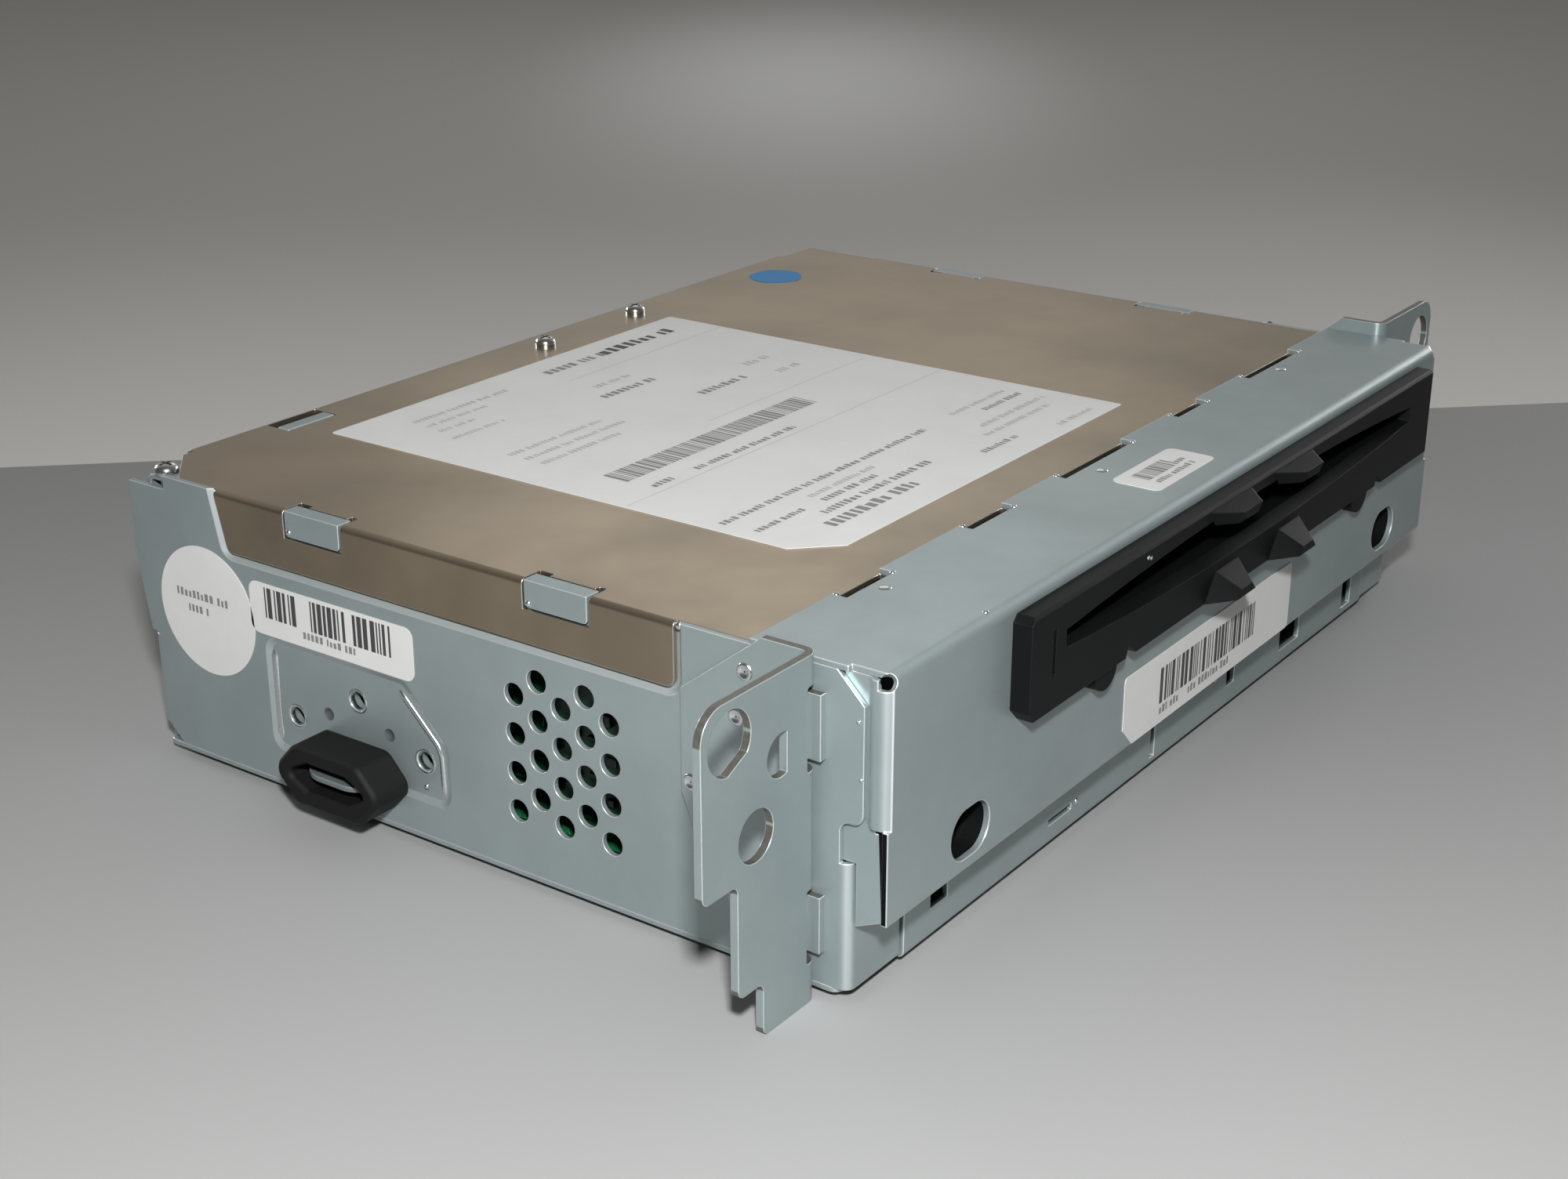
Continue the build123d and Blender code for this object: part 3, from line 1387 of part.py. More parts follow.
def loading_motor():
    y, z = train_places()[2]
    end = deck_left - bracket_reach - steel
    start = -half + steel + loading_motor_gap
    can = rod(loading_motor_radius, (start, y, z), end - start, "x")
    can = chamfer(can.edges().group_by(Axis.X)[0], 1.0)
    return can - rod(0.5 + running_gap, (deck_left - bracket_reach - 4, y, z), 6, "x")


def motor_bracket():
    """A Z-folded plate on the deck's flank that carries the loading motor."""
    outer = deck_left - bracket_reach
    line = [(deck_left - steel, bracket_rear), (deck_left - steel, bracket_step),
            (outer - steel, bracket_step), (outer - steel, bracket_front)]
    section = strip(line, steel, 1.2, Side.LEFT)
    plate = slab_z(section, bracket_low, bracket_tall)
    y, z = train_places()[2]
    return plate - rod(1.4, (outer - 3, y, z), 6, "x")


def gear_studs():
    """Fixed studs for the feed gear, the transfer gear and the compound gear."""
    group = rod(stud_radius, (slot_x - feed_x(), feed_y, deck_top), 4.2, "z")
    x, y = lever_place()
    group += rod(stud_radius, (x, y, deck_top), lever_z + 1.8 - deck_top, "z")
    inner_plane, outer_plane = gear_planes()
    transfer, compound, motor = train_places()
    y, z = transfer
    group += rod(stud_radius, (inner_plane - 0.2, y, z), deck_left - inner_plane + 0.2, "x")
    y, z = compound
    group += rod(stud_radius, (deck_left - bracket_reach, y, z), bracket_reach, "x")
    return group


def disc_lever():
    """The lever at the rear of the bay that feels the edge of a seated disc."""
    x, y = lever_place()
    shape = make_hull([(Pos(x, y) * Circle(lever_root)).edge(),
                       (Pos(x + lever_reach, y - lever_lead) * Circle(lever_tip)).edge()])
    lever = slab_z(shape, lever_z, lever_thick)
    lever += rod(lever_peg, (x + lever_reach, y - lever_lead, lever_z - lever_peg_drop),
                 lever_peg_drop, "z")
    lever += rod(lever_hub, (x, y, deck_top + 0.1), lever_z - deck_top - 0.1, "z")
    return lever - rod(stud_radius + running_gap, (x, y, deck_top - 1), 12, "z")


def lever_place():
    """Centre of the sensing lever's stud."""
    return slot_x - lever_x, lever_y


def deck_screws():
    """Screws that hold the motors and the bracket to the deck."""
    group = Part()
    places = []
    for angle in (30, 150, 270):
        reach = motor_radius - 2.0
        places.append((slot_x + reach * math.cos(math.radians(angle)),
                       turntable_y + reach * math.sin(math.radians(angle))))
    for x, y in places:
        head = rod(0.9, (x, y, deck_top), 0.5, "z")
        group += head
    for z in (deck_z + 4, deck_z + 9):
        group += rod(1.8, (deck_left - steel - 1.0, bracket_rear - 4, z), 1.0, "x")
    return group


def build():
    """All sub-parts by name, in the case datum."""
    return {
        "left_side_plate": left_side_plate(),
        "right_side_plate": mirrored(side_plate()),
        "top_cover": top_cover(),
        "front_hood": front_hood(),
        "bottom_cover": bottom_cover(),
        "rear_panel": rear_panel(),
        "left_ear_bracket": ear_bracket(ear_top),
        "right_ear_bracket": mirrored(ear_bracket(ear_top_right)),
        "slot_bezel": slot_bezel(),
        "slot_felts": slot_felts(),
        "locating_tongue": locating_tongue(),
        "rubber_sleeve": rubber_sleeve(),
        "cover_screws": cover_screws(),
        "rubber_feet": rubber_feet(),
        "main_board": main_board(),
        "capacitors": capacitors(),
        "board_chips": board_chips(),
        "rear_plug": rear_plug(),
        "plug_pins": plug_pins_group(),
        "coax_sockets": coax_sockets(),
        "ribbon_cable": ribbon_cable(),
        "drive_deck": drive_deck(),
        "deck_posts": deck_posts(),
        "rubber_dampers": rubber_dampers(),
        "guide_plate": guide_plate(),
        "disc_guides": disc_guides(),
        "spindle_motor": spindle_motor(),
        "turntable": turntable(),
        "clamp_pin": clamp_pin(),
        "clamp_arm": clamp_arm(),
        "clamp_puck": clamp_puck(),
        "guide_rods": guide_rods(),
        "pickup_sled": pickup_sled(),
        "pickup_lens": pickup_lens(),
        "feed_gear": feed_gear(),
        "feed_pinion": feed_pinion(),
        "feed_motor": feed_motor(),
        "gear_studs": gear_studs(),
        "roller_arm": roller_arm(),
        "roller_shaft": roller_shaft(),
        "loading_roller": loading_roller(),
        "roller_gear": roller_gear(),
        "transfer_gear": transfer_gear(),
        "compound_gear": compound_gear(),
        "loading_pinion": loading_pinion(),
        "loading_motor": loading_motor(),
        "motor_bracket": motor_bracket(),
        "disc_lever": disc_lever(),
        "deck_screws": deck_screws(),
    }


# Row frame: the middle of the footprint at the level that the part stands on
front_reach = bezel_proud + wedge_reach
rear_reach = case_depth + socket_reach
row_shift = Pos(0, -(rear_reach - front_reach) / 2, -floor_z)

os.makedirs("parts", exist_ok=True)
for name, solid in build().items():
    export_step(row_shift * solid, os.path.join("parts", name + ".step"))
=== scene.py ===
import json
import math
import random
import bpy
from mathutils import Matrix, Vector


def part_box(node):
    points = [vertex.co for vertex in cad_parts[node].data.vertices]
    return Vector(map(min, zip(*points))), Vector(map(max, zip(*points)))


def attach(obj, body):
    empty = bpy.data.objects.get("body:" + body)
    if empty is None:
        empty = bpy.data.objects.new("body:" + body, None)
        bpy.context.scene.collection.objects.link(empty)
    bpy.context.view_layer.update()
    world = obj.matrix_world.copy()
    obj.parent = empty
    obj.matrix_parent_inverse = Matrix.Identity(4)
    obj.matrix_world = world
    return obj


bl_info = {
    "name": "Slot-loading Disc Player Looks",
    "version": (1, 0, 0),
    "blender": (4, 5, 0),
    "location": "View3D > Sidebar > Disc Player",
    "description": "Finishes, labels and small pressed details of a slot-loading car disc player",
    "category": "Object",
}

import bmesh
import bpy
from bpy.props import FloatProperty, FloatVectorProperty, IntProperty
from mathutils import Matrix, Vector

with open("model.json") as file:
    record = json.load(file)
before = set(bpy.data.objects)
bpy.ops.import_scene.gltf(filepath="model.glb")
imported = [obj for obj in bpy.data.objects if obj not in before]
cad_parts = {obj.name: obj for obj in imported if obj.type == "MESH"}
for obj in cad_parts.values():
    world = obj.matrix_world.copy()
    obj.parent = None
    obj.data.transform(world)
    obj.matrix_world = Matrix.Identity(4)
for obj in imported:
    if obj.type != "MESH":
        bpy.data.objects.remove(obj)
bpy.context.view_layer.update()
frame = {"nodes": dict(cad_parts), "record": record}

# Row frame place of the case datum: left wall's outer plane, front face, lower edge of the sides
DATUM = Vector((-0.090, -0.06685, 0.0021))
CASE_WIDTH = 180.0  # millimetres, between the outer planes of the side walls

# Gap in metres that keeps a flat piece clear of the surface under it
LIFT = 0.00002

# Material places of a printed label: the paper is 0
DARK_INK, GREY_INK, PALE_INK = 1, 2, 3

# The cover label's rows of dashes: left end, lower edge, length and height in millimetres, and the ink
COVER_ROWS = (
    (45.2, 88.9, 15.0, 2.0, GREY_INK), (60.4, 88.8, 20.0, 2.8, DARK_INK), (11.4, 88.2, 22.4, 1.2, PALE_INK),
    (11.0, 85.0, 14.0, 1.1, PALE_INK), (10.5, 81.6, 8.0, 1.2, PALE_INK), (9.0, 77.4, 12.0, 1.1, PALE_INK),
    (43.8, 77.0, 9.0, 1.4, PALE_INK), (40.2, 72.0, 13.4, 1.7, GREY_INK), (8.0, 64.4, 22.0, 1.2, PALE_INK),
    (8.0, 61.0, 25.0, 1.2, PALE_INK), (8.0, 57.6, 19.0, 1.2, PALE_INK), (51.6, 60.0, 12.7, 1.8, GREY_INK),
    (69.8, 64.2, 6.6, 1.8, PALE_INK), (69.9, 57.2, 6.3, 1.6, PALE_INK), (9.6, 37.0, 4.7, 1.4, GREY_INK),
    (19.9, 36.8, 25.8, 1.3, GREY_INK), (2.6, 18.8, 54.0, 1.3, GREY_INK), (3.1, 13.0, 12.0, 1.2, GREY_INK),
    (19.5, 15.4, 17.2, 1.1, PALE_INK), (19.5, 12.8, 14.0, 1.3, GREY_INK), (15.1, 9.6, 28.8, 1.5, GREY_INK),
    (11.3, 5.6, 23.4, 2.3, GREY_INK), (66.0, 19.6, 17.0, 1.1, PALE_INK), (71.6, 16.6, 12.0, 1.2, GREY_INK),
    (63.6, 12.4, 20.2, 1.2, PALE_INK), (60.0, 9.4, 20.0, 1.1, PALE_INK), (52.5, 5.2, 10.0, 1.3, GREY_INK),
    (71.8, 2.6, 11.7, 1.2, PALE_INK),
)


def mm(*values):
    """Sizes in millimetres as metres."""
    return tuple(value / 1000 for value in values)


def at_case(x, y, z):
    """A point measured in millimetres from the case datum, in the row frame."""
    return DATUM + Vector(mm(x, y, z))


def colour_property(name, description, default):
    return FloatVectorProperty(
        name=name, description=description, subtype="COLOR", size=3, min=0, max=1, default=default
    )


def length_property(name, description, default):
    return FloatProperty(name=name, description=description, default=default, unit="LENGTH")


def power_property(name, description, default):
    return FloatProperty(name=name, description=description, default=default, unit="POWER")


class DiscPlayerFinishes(bpy.types.PropertyGroup):
    """Colours and gloss of the CAD pieces"""

    zinc: colour_property("Zinc plate", "Bluish grey of the plated case sheets", (0.345, 0.405, 0.41))
    # Cut edge colour, also painted on the sheets' edges and folds as a highlight
    cut_edge_and_highlight: colour_property("Cut edge", "Bright steel on the cut edges of the sheets", (0.80, 0.83, 0.83))
    sheared: colour_property("Sheared edge", "Brownish grey of the ears' torn cut faces", (0.10, 0.088, 0.07))
    zinc_roughness: FloatProperty(name="Zinc roughness", description="Roughness of the plate", default=0.38)
    cover: colour_property("Cover plate", "Warm grey of the top cover", (0.47, 0.385, 0.28))
    cover_stain: colour_property("Cover stain", "Duller patches of the top cover", (0.35, 0.29, 0.215))
    deck: colour_property("Deck steel", "Plate of the disc mechanism's sheets", (0.46, 0.48, 0.49))
    black: colour_property("Black plastic", "Bezel, guides and sockets", (0.0035, 0.0038, 0.004))
    rubber: colour_property("Rubber", "Sleeve, feet, dampers and roller", (0.006, 0.0062, 0.006))
    white: colour_property("White plastic", "Gears, puck and lever", (0.72, 0.71, 0.66))
    board: colour_property("Board lacquer", "Green of the circuit board", (0.010, 0.115, 0.045))
    edge_radius: length_property("Edge radius", "Width of the softened edges of the sheets", 0.00035)


class DiscPlayerLabels(bpy.types.PropertyGroup):
    """Paper, inks and sizes of the labels"""

    paper: colour_property("Label paper", "White of the labels", (0.66, 0.665, 0.65))
    ink: colour_property("Dark ink", "Near black of the stripes", (0.05, 0.05, 0.053))
    grey_ink: colour_property("Grey ink", "Grey of the rows of dashes", (0.21, 0.21, 0.205))
    pale_ink: colour_property("Pale ink", "Pale grey of the finest rows", (0.43, 0.43, 0.42))
    dot: colour_property("Paint dot", "Blue of the inspection mark on the cover", (0.006, 0.2, 0.5))
    paper_thickness: length_property("Paper thickness", "Thickness of a label", 0.0001)
    ink_lift: length_property("Ink lift", "Height of the printed marks over the paper", 0.00002)
    round_radius: length_property("Round label", "Radius of the round label", 0.0105)
    dot_radius: length_property("Dot radius", "Radius of the paint dot", 0.0052)
    seed: IntProperty(name="Print seed", description="Seed of the rows of dashes", default=7)


class DiscPlayerStage(bpy.types.PropertyGroup):
    """Floor, lights and lens"""

    floor: colour_property("Floor", "Pale grey of the floor", (0.375, 0.375, 0.375))
    ground: colour_property("Ground", "Grey of the ground beyond the floor sheet", (0.58, 0.572, 0.552))
    near: power_property("Near light", "Power of the lamp by the camera", 2.25)
    rear: power_property("Rear light", "Power of the lamp behind", 0.25)
    fill: power_property("Fill light", "Power of the two lamps low behind and on the right", 0.06)
    world: FloatProperty(name="Room", description="Strength of the even light from all round", default=0.075)
    world_wall: FloatProperty(name="Far wall", description="Light from the far wall", default=0.29)
    lens: FloatProperty(name="Lens", description="Focal length of the camera in millimetres", default=52.33)


# Node trees


def place_node(tree, kind, inputs=None, **settings):
    """One node with its settings; an input is a socket to link or a plain value."""
    made = tree.nodes.new(kind)
    for key, value in settings.items():
        setattr(made, key, value)
    for key, value in (inputs or {}).items():
        if isinstance(value, bpy.types.NodeSocket):
            tree.links.new(value, made.inputs[key])
        else:
            made.inputs[key].default_value = value
    return made


def math_node(tree, operation, *values):
    return place_node(tree, "ShaderNodeMath", dict(enumerate(values)), operation=operation).outputs[0]


def vector_node(tree, operation, *values):
    """The outputs Vector and Value of a vector operation."""
    return place_node(tree, "ShaderNodeVectorMath", dict(enumerate(values)), operation=operation).outputs


def remapped(tree, value, low, high, first=0.0, last=1.0, easing="LINEAR"):
    """The value, with its range from low to high taken to first to last."""
    ends = {"Value": value, "From Min": low, "From Max": high, "To Min": first, "To Max": last}
    return place_node(tree, "ShaderNodeMapRange", ends, interpolation_type=easing).outputs[0]


def colour_mix(tree, mask, first, second):
    """The first colour where the mask is 0 and the second where it is 1."""
    first, second = (
        tint if isinstance(tint, bpy.types.NodeSocket) else (*tint, 1.0) for tint in (first, second)
    )
    return place_node(
        tree, "ShaderNodeMix", {"Factor": mask, 6: first, 7: second}, data_type="RGBA",
    ).outputs[2]


def new_group(name, inputs, outputs):
    """An empty shader group with its sockets, and its input and output nodes."""
    group = bpy.data.node_groups.new(name, "ShaderNodeTree")
    for label, kind, default in inputs:
        socket = group.interface.new_socket(label, in_out="INPUT", socket_type=kind)
        socket.default_value = default
    for label, kind in outputs:
        group.interface.new_socket(label, in_out="OUTPUT", socket_type=kind)
    return group, group.nodes.new("NodeGroupInput"), group.nodes.new("NodeGroupOutput")


def mottle_group():
    """Cloudy variation of a surface: a wide cloud with a finer one over it."""
    group, start, end = new_group(
        "Mottle",
        (
            ("Scale", "NodeSocketFloat", 60.0), ("Fine", "NodeSocketFloat", 0.3),
            ("Low", "NodeSocketFloat", 0.35), ("High", "NodeSocketFloat", 0.65),
        ),
        (("Mask", "NodeSocketFloat"),),
    )
    place = place_node(group, "ShaderNodeTexCoord").outputs["Object"]
    wide = place_node(group, "ShaderNodeTexNoise", {
        "Vector": place, "Scale": start.outputs["Scale"], "Detail": 3.0, "Roughness": 0.55,
    })
    fine_scale = math_node(group, "MULTIPLY", start.outputs["Scale"], 5.3)
    fine = place_node(group, "ShaderNodeTexNoise", {
        "Vector": place, "Scale": fine_scale, "Detail": 3.0, "Roughness": 0.6,
    })
    above = math_node(group, "SUBTRACT", fine.outputs["Fac"], 0.5)
    cloud = math_node(group, "MULTIPLY_ADD", above, start.outputs["Fine"], wide.outputs["Fac"])
    mask = remapped(group, cloud, start.outputs["Low"], start.outputs["High"])
    group.links.new(mask, end.inputs["Mask"])
    return group


def grain_group():
    """Fine even grain for a bump: cast, moulded or brushed surfaces."""
    group, start, end = new_group(
        "Surface grain",
        (("Scale", "NodeSocketFloat", 2500.0), ("Stretch X", "NodeSocketFloat", 1.0)),
        (("Height", "NodeSocketFloat"),),
    )
    place = place_node(group, "ShaderNodeTexCoord").outputs["Object"]
    stretch = place_node(group, "ShaderNodeCombineXYZ", {"X": start.outputs["Stretch X"], "Y": 1.0, "Z": 1.0})
    shaped = vector_node(group, "MULTIPLY", place, stretch.outputs[0])
    grain = place_node(group, "ShaderNodeTexNoise", {
        "Vector": shaped["Vector"], "Scale": start.outputs["Scale"], "Detail": 2.0,
    })
    group.links.new(grain.outputs["Fac"], end.inputs["Height"])
    return group


def edge_and_highlight_group():
    """Softened edges: a rounded normal, and a mask that is 1 along the edges, where the finishes paint a
    highlight.
    """
    group, start, end = new_group(
        "Rounded edge and highlight",
        (("Radius", "NodeSocketFloat", 0.0004), ("Sharpness", "NodeSocketFloat", 0.12)),
        (("Mask", "NodeSocketFloat"), ("Normal", "NodeSocketVector")),
    )
    rounded = place_node(group, "ShaderNodeBevel", {"Radius": start.outputs["Radius"]}, samples=6)
    plain = place_node(group, "ShaderNodeNewGeometry")
    facing = vector_node(group, "DOT_PRODUCT", rounded.outputs["Normal"], plain.outputs["Normal"])
    turned = math_node(group, "SUBTRACT", 1.0, facing["Value"])
    group.links.new(remapped(group, turned, 0.01, start.outputs["Sharpness"]), end.inputs["Mask"])
    group.links.new(rounded.outputs["Normal"], end.inputs["Normal"])
    return group


def bend_highlight_group():
    """A mask of a sheet's folds and pressed slopes that face X and Y at least as much as given, where the
    sheet finishes paint a highlight.
    """
    group, start, end = new_group(
        "Bend highlights",
        (("Least X", "NodeSocketFloat", 0.1), ("Least Y", "NodeSocketFloat", -1.0)),
        (("Mask", "NodeSocketFloat"),),
    )
    facing = place_node(group, "ShaderNodeTexCoord").outputs["Normal"]
    flat = vector_node(group, "ABSOLUTE", facing)
    parts = place_node(group, "ShaderNodeSeparateXYZ", {0: flat["Vector"]})
    first = math_node(group, "MAXIMUM", parts.outputs["X"], parts.outputs["Y"])
    largest = math_node(group, "MAXIMUM", first, parts.outputs["Z"])
    turned = math_node(group, "SUBTRACT", 1.0, largest)
    mask = remapped(group, turned, 0.02, 0.16)
    across = math_node(group, "GREATER_THAN", parts.outputs["X"], start.outputs["Least X"])
    deep = math_node(group, "GREATER_THAN", parts.outputs["Y"], start.outputs["Least Y"])
    towards = math_node(group, "MULTIPLY", across, deep)
    group.links.new(math_node(group, "MULTIPLY", mask, towards), end.inputs["Mask"])
    return group


def sheared_group():
    """A mask of the cut faces of an upright bracket, with the streaks that the shear leaves on them."""
    group, start, end = new_group(
        "Sheared edge", (("Streaks", "NodeSocketFloat", 0.35),), (("Mask", "NodeSocketFloat"),),
    )
    around = place_node(group, "ShaderNodeTexCoord")
    parts = place_node(group, "ShaderNodeSeparateXYZ", {0: around.outputs["Normal"]})
    level = math_node(group, "ABSOLUTE", parts.outputs["Z"])
    cut = remapped(group, level, 0.03, 0.08)
    streak = place_node(group, "ShaderNodeTexNoise", {
        "Vector": around.outputs["Object"], "Scale": 1400.0, "Detail": 2.0,
    })
    less = math_node(group, "MULTIPLY", streak.outputs["Fac"], start.outputs["Streaks"])
    left = math_node(group, "SUBTRACT", 1.0, less)
    group.links.new(math_node(group, "MULTIPLY", cut, left), end.inputs["Mask"])
    return group


SHARED_GROUPS = {
    "Mottle": mottle_group,
    "Surface grain": grain_group,
    "Rounded edge and highlight": edge_and_highlight_group,
    "Bend highlights": bend_highlight_group,
    "Sheared edge": sheared_group,
}


def shared_group(tree, name, inputs):
    """A shared effect placed in a material with its own values."""
    group = bpy.data.node_groups.get(name) or SHARED_GROUPS[name]()
    made = tree.nodes.new("ShaderNodeGroup")
    made.node_tree = group
    for key, value in inputs.items():
        made.inputs[key].default_value = value
    return made


def new_material(name, base, metallic, roughness):
    """A new material of plain values, with its tree and its Principled shader."""
    material = bpy.data.materials.new(name)
    material.use_nodes = True
    shader = material.node_tree.nodes["Principled BSDF"]
    shader.inputs["Base Color"].default_value = (*base, 1.0)
    shader.inputs["Metallic"].default_value = metallic
    shader.inputs["Roughness"].default_value = roughness
    material.diffuse_color = (*base, 1.0)
    return material, material.node_tree, shader


def sheet_finish(
    name, base, patch, edge, roughness, scale, rim, metallic=0.85, spread=(0.35, 0.65), fine=0.3, bend_highlight=0.5,
    least=(0.1, 0.1), sheared=None,
):
    """Plated sheet steel: cloudy plate; painted highlight on the folds, or sheared cut faces instead; cut
    edges lit as bright steel and painted highlight; an uneven gloss.
    """
    material, tree, shader = new_material(name, base, metallic, roughness)
    mottle = shared_group(tree, "Mottle", {"Scale": scale, "Fine": fine, "Low": spread[0], "High": spread[1]})
    edge_and_highlight = shared_group(tree, "Rounded edge and highlight", {"Radius": rim, "Sharpness": 0.14})
    clouded = colour_mix(tree, mottle.outputs["Mask"], base, patch)
    if sheared:
        cut = shared_group(tree, "Sheared edge", {"Streaks": 0.35})
        worked = colour_mix(tree, cut.outputs["Mask"], clouded, sheared)
    else:
        # Folds and pressed slopes lightened towards the edge colour: painted highlight
        folds = shared_group(tree, "Bend highlights", {"Least X": least[0], "Least Y": least[1]})
        share = math_node(tree, "MULTIPLY", folds.outputs["Mask"], bend_highlight)
        worked = colour_mix(tree, share, clouded, edge)
    # Edges lightened to the cut-edge colour: bright cut steel and painted highlight
    edged = colour_mix(tree, edge_and_highlight.outputs["Mask"], worked, edge)
    tree.links.new(edged, shader.inputs["Base Color"])
    uneven = remapped(tree, mottle.outputs["Mask"], 0.0, 1.0, roughness - 0.015, roughness + 0.025)
    tree.links.new(uneven, shader.inputs["Roughness"])
    tree.links.new(edge_and_highlight.outputs["Normal"], shader.inputs["Normal"])
    return material


def moulded_finish(name, base, roughness, grain=2500.0, depth=0.03, edge=0.00025, edge_highlight_lift=0.03, gloss=0.5):
    """Moulded plastic or rubber: fine grain, and edges painted a little paler as a highlight."""
    material, tree, shader = new_material(name, base, 0.0, roughness)
    shader.inputs["Specular IOR Level"].default_value = gloss
    edge_and_highlight = shared_group(tree, "Rounded edge and highlight", {"Radius": edge, "Sharpness": 0.2})
    # Edges painted paler: painted highlight
    edge_highlight_tint = tuple(min(1.0, value + edge_highlight_lift) for value in base)
    tree.links.new(colour_mix(tree, edge_and_highlight.outputs["Mask"], base, edge_highlight_tint), shader.inputs["Base Color"])
    rough = shared_group(tree, "Surface grain", {"Scale": grain, "Stretch X": 1.0})
    bump = place_node(tree, "ShaderNodeBump", {
        "Strength": depth, "Distance": 0.0001,
        "Height": rough.outputs["Height"], "Normal": edge_and_highlight.outputs["Normal"],
    })
    tree.links.new(bump.outputs[0], shader.inputs["Normal"])
    return material


def turned_finish(name, base, roughness, stretch=0.05):
    """Bright turned or drawn metal with fine lines along it."""
    material, tree, shader = new_material(name, base, 1.0, roughness)
    lines = shared_group(tree, "Surface grain", {"Scale": 4000.0, "Stretch X": stretch})
    uneven = remapped(tree, lines.outputs["Height"], 0.0, 1.0, roughness - 0.06, roughness + 0.08)
    tree.links.new(uneven, shader.inputs["Roughness"])
    return material


def wear(slot, material, only=None):
    """Gives a finish to the CAD nodes of one material slot, or only to those of them that are named."""
    nodes = [
        part["node"] for part in frame["record"]["subparts"]
        if part["material_slot"] == slot and (only is None or part["node"] in only)
    ]
    if not nodes:
        raise RuntimeError("no node has the material slot " + slot)
    for node in nodes:
        skin = frame["nodes"][node].data
        skin.materials.clear()
        skin.materials.append(material)


def require_nodes(*names):
    """Stops the build if a CAD node that a piece is fitted to isn't there."""
    for name in names:
        if name not in frame["nodes"]:
            raise RuntimeError("no CAD node named " + name)


# Meshes


def mesh_object(name, mesh, materials, body="case"):
    """Puts a finished bmesh into the scene as a piece that rides on a CAD body."""
    data = bpy.data.meshes.new(name)
    mesh.to_mesh(data)
    mesh.free()
    for material in materials:
        data.materials.append(material)
    made = bpy.data.objects.new(name, data)
    bpy.context.scene.collection.objects.link(made)
    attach(made, body)


def rounded_outline(width, height, radius, cut=0.0):
    """Corner points of a rounded rectangle from (0, 0); the cut takes off the lower left one."""
    steps = 5
    right, top = width - radius, height - radius
    centres = ((right, radius), (right, top), (radius, top), (radius, radius))
    points = []
    for index, (x, y) in enumerate(centres[:3] if cut else centres):
        for step in range(steps + 1):
            angle = math.radians(90 * (index - 1) + 90 * step / steps)
            points.append((x + radius * math.cos(angle), y + radius * math.sin(angle)))
    return points + [(0, cut), (cut, 0)] if cut else points


def add_paper(mesh, points, thickness):
    """A thin sheet with the given outline."""
    lower = [mesh.verts.new((x, y, 0)) for x, y in points]
    upper = [mesh.verts.new((x, y, thickness)) for x, y in points]
    mesh.faces.new(upper)
    mesh.faces.new(list(reversed(lower)))
    for i in range(len(points)):
        after = (i + 1) % len(points)
        mesh.faces.new((lower[i], lower[after], upper[after], upper[i]))


def add_mark(mesh, x, y, width, height, level, ink):
    """One printed bar or dash lying on the paper."""
    corners = ((x, y), (x + width, y), (x + width, y + height), (x, y + height))
    mesh.faces.new([mesh.verts.new((*corner, level)) for corner in corners]).material_index = ink


def add_dashes(mesh, chance, x, y, length, height, level, ink=GREY_INK):
    """A row of fine dashes of uneven length, in broken groups."""
    end = x + length
    gap = height * 0.28
    while x < end - gap:
        for _ in range(chance.randint(3, 9)):
            dash = min(height * chance.uniform(0.3, 0.62), end - x)
            if dash < height * 0.2:
                break
            rise = height * chance.choice((0, 0, 0.22))
            add_mark(mesh, x, y, dash, height - rise, level, ink)
            x += dash + gap
        x += height * 0.5


def add_stripes(mesh, chance, x, y, length, height, level, finest, ink=DARK_INK):
    """A block of upright stripes of uneven width."""
    end = x + length
    while x < end - finest:
        stripe = finest * chance.choice((1, 1, 2, 3))
        add_mark(mesh, x, y, min(stripe, end - x), height, level, ink)
        x += stripe + finest * chance.choice((1, 1, 2))


def add_bead(mesh, points, up, width, height):
    """A rounded pressed ridge along a line of points, tapered at both ends."""
    arc = 6
    up = Vector(up).normalized()
    rows = []
    for i, point in enumerate(points):
        before, after = points[max(i - 1, 0)], points[min(i + 1, len(points) - 1)]
        side = up.cross((after - before).normalized()).normalized()
        rise = 0.15 if i in (0, len(points) - 1) else 1.0
        rows.append([
            mesh.verts.new(
                point + side * (math.cos(math.pi * k / arc) * width / 2 * (0.4 + 0.6 * rise))
                + up * (math.sin(math.pi * k / arc) * height * rise)
            )
            for k in range(arc + 1)
        ])
    for low, high in zip(rows, rows[1:]):
        for k in range(arc):
            mesh.faces.new((low[k], high[k], high[k + 1], low[k + 1])).smooth = True


def line_points(corners):
    """Points along the straight runs between corners, close enough for a tapered ridge."""
    step = 0.0008
    points = []
    for first, last in zip(corners, corners[1:]):
        count = max(2, int((last - first).length / step))
        points += [first.lerp(last, i / count) for i in range(count)]
    return points + [corners[-1]]


def add_turned(mesh, centre, up, profile, sides=28):
    """A turned form about an axis, from radius and height pairs that run from outside to inside."""
    up = Vector(up).normalized()
    side = up.orthogonal().normalized()
    other = up.cross(side)
    turns = [2 * math.pi * i / sides for i in range(sides)]
    spokes = [side * math.cos(turn) + other * math.sin(turn) for turn in turns]
    rings = [
        [mesh.verts.new(centre + up * height + spoke * radius) for spoke in spokes]
        for radius, height in profile
    ]
    for low, high in zip(rings, rings[1:]):
        for i in range(sides):
            after = (i + 1) % sides
            mesh.faces.new((low[i], low[after], high[after], high[i])).smooth = True
    return rings


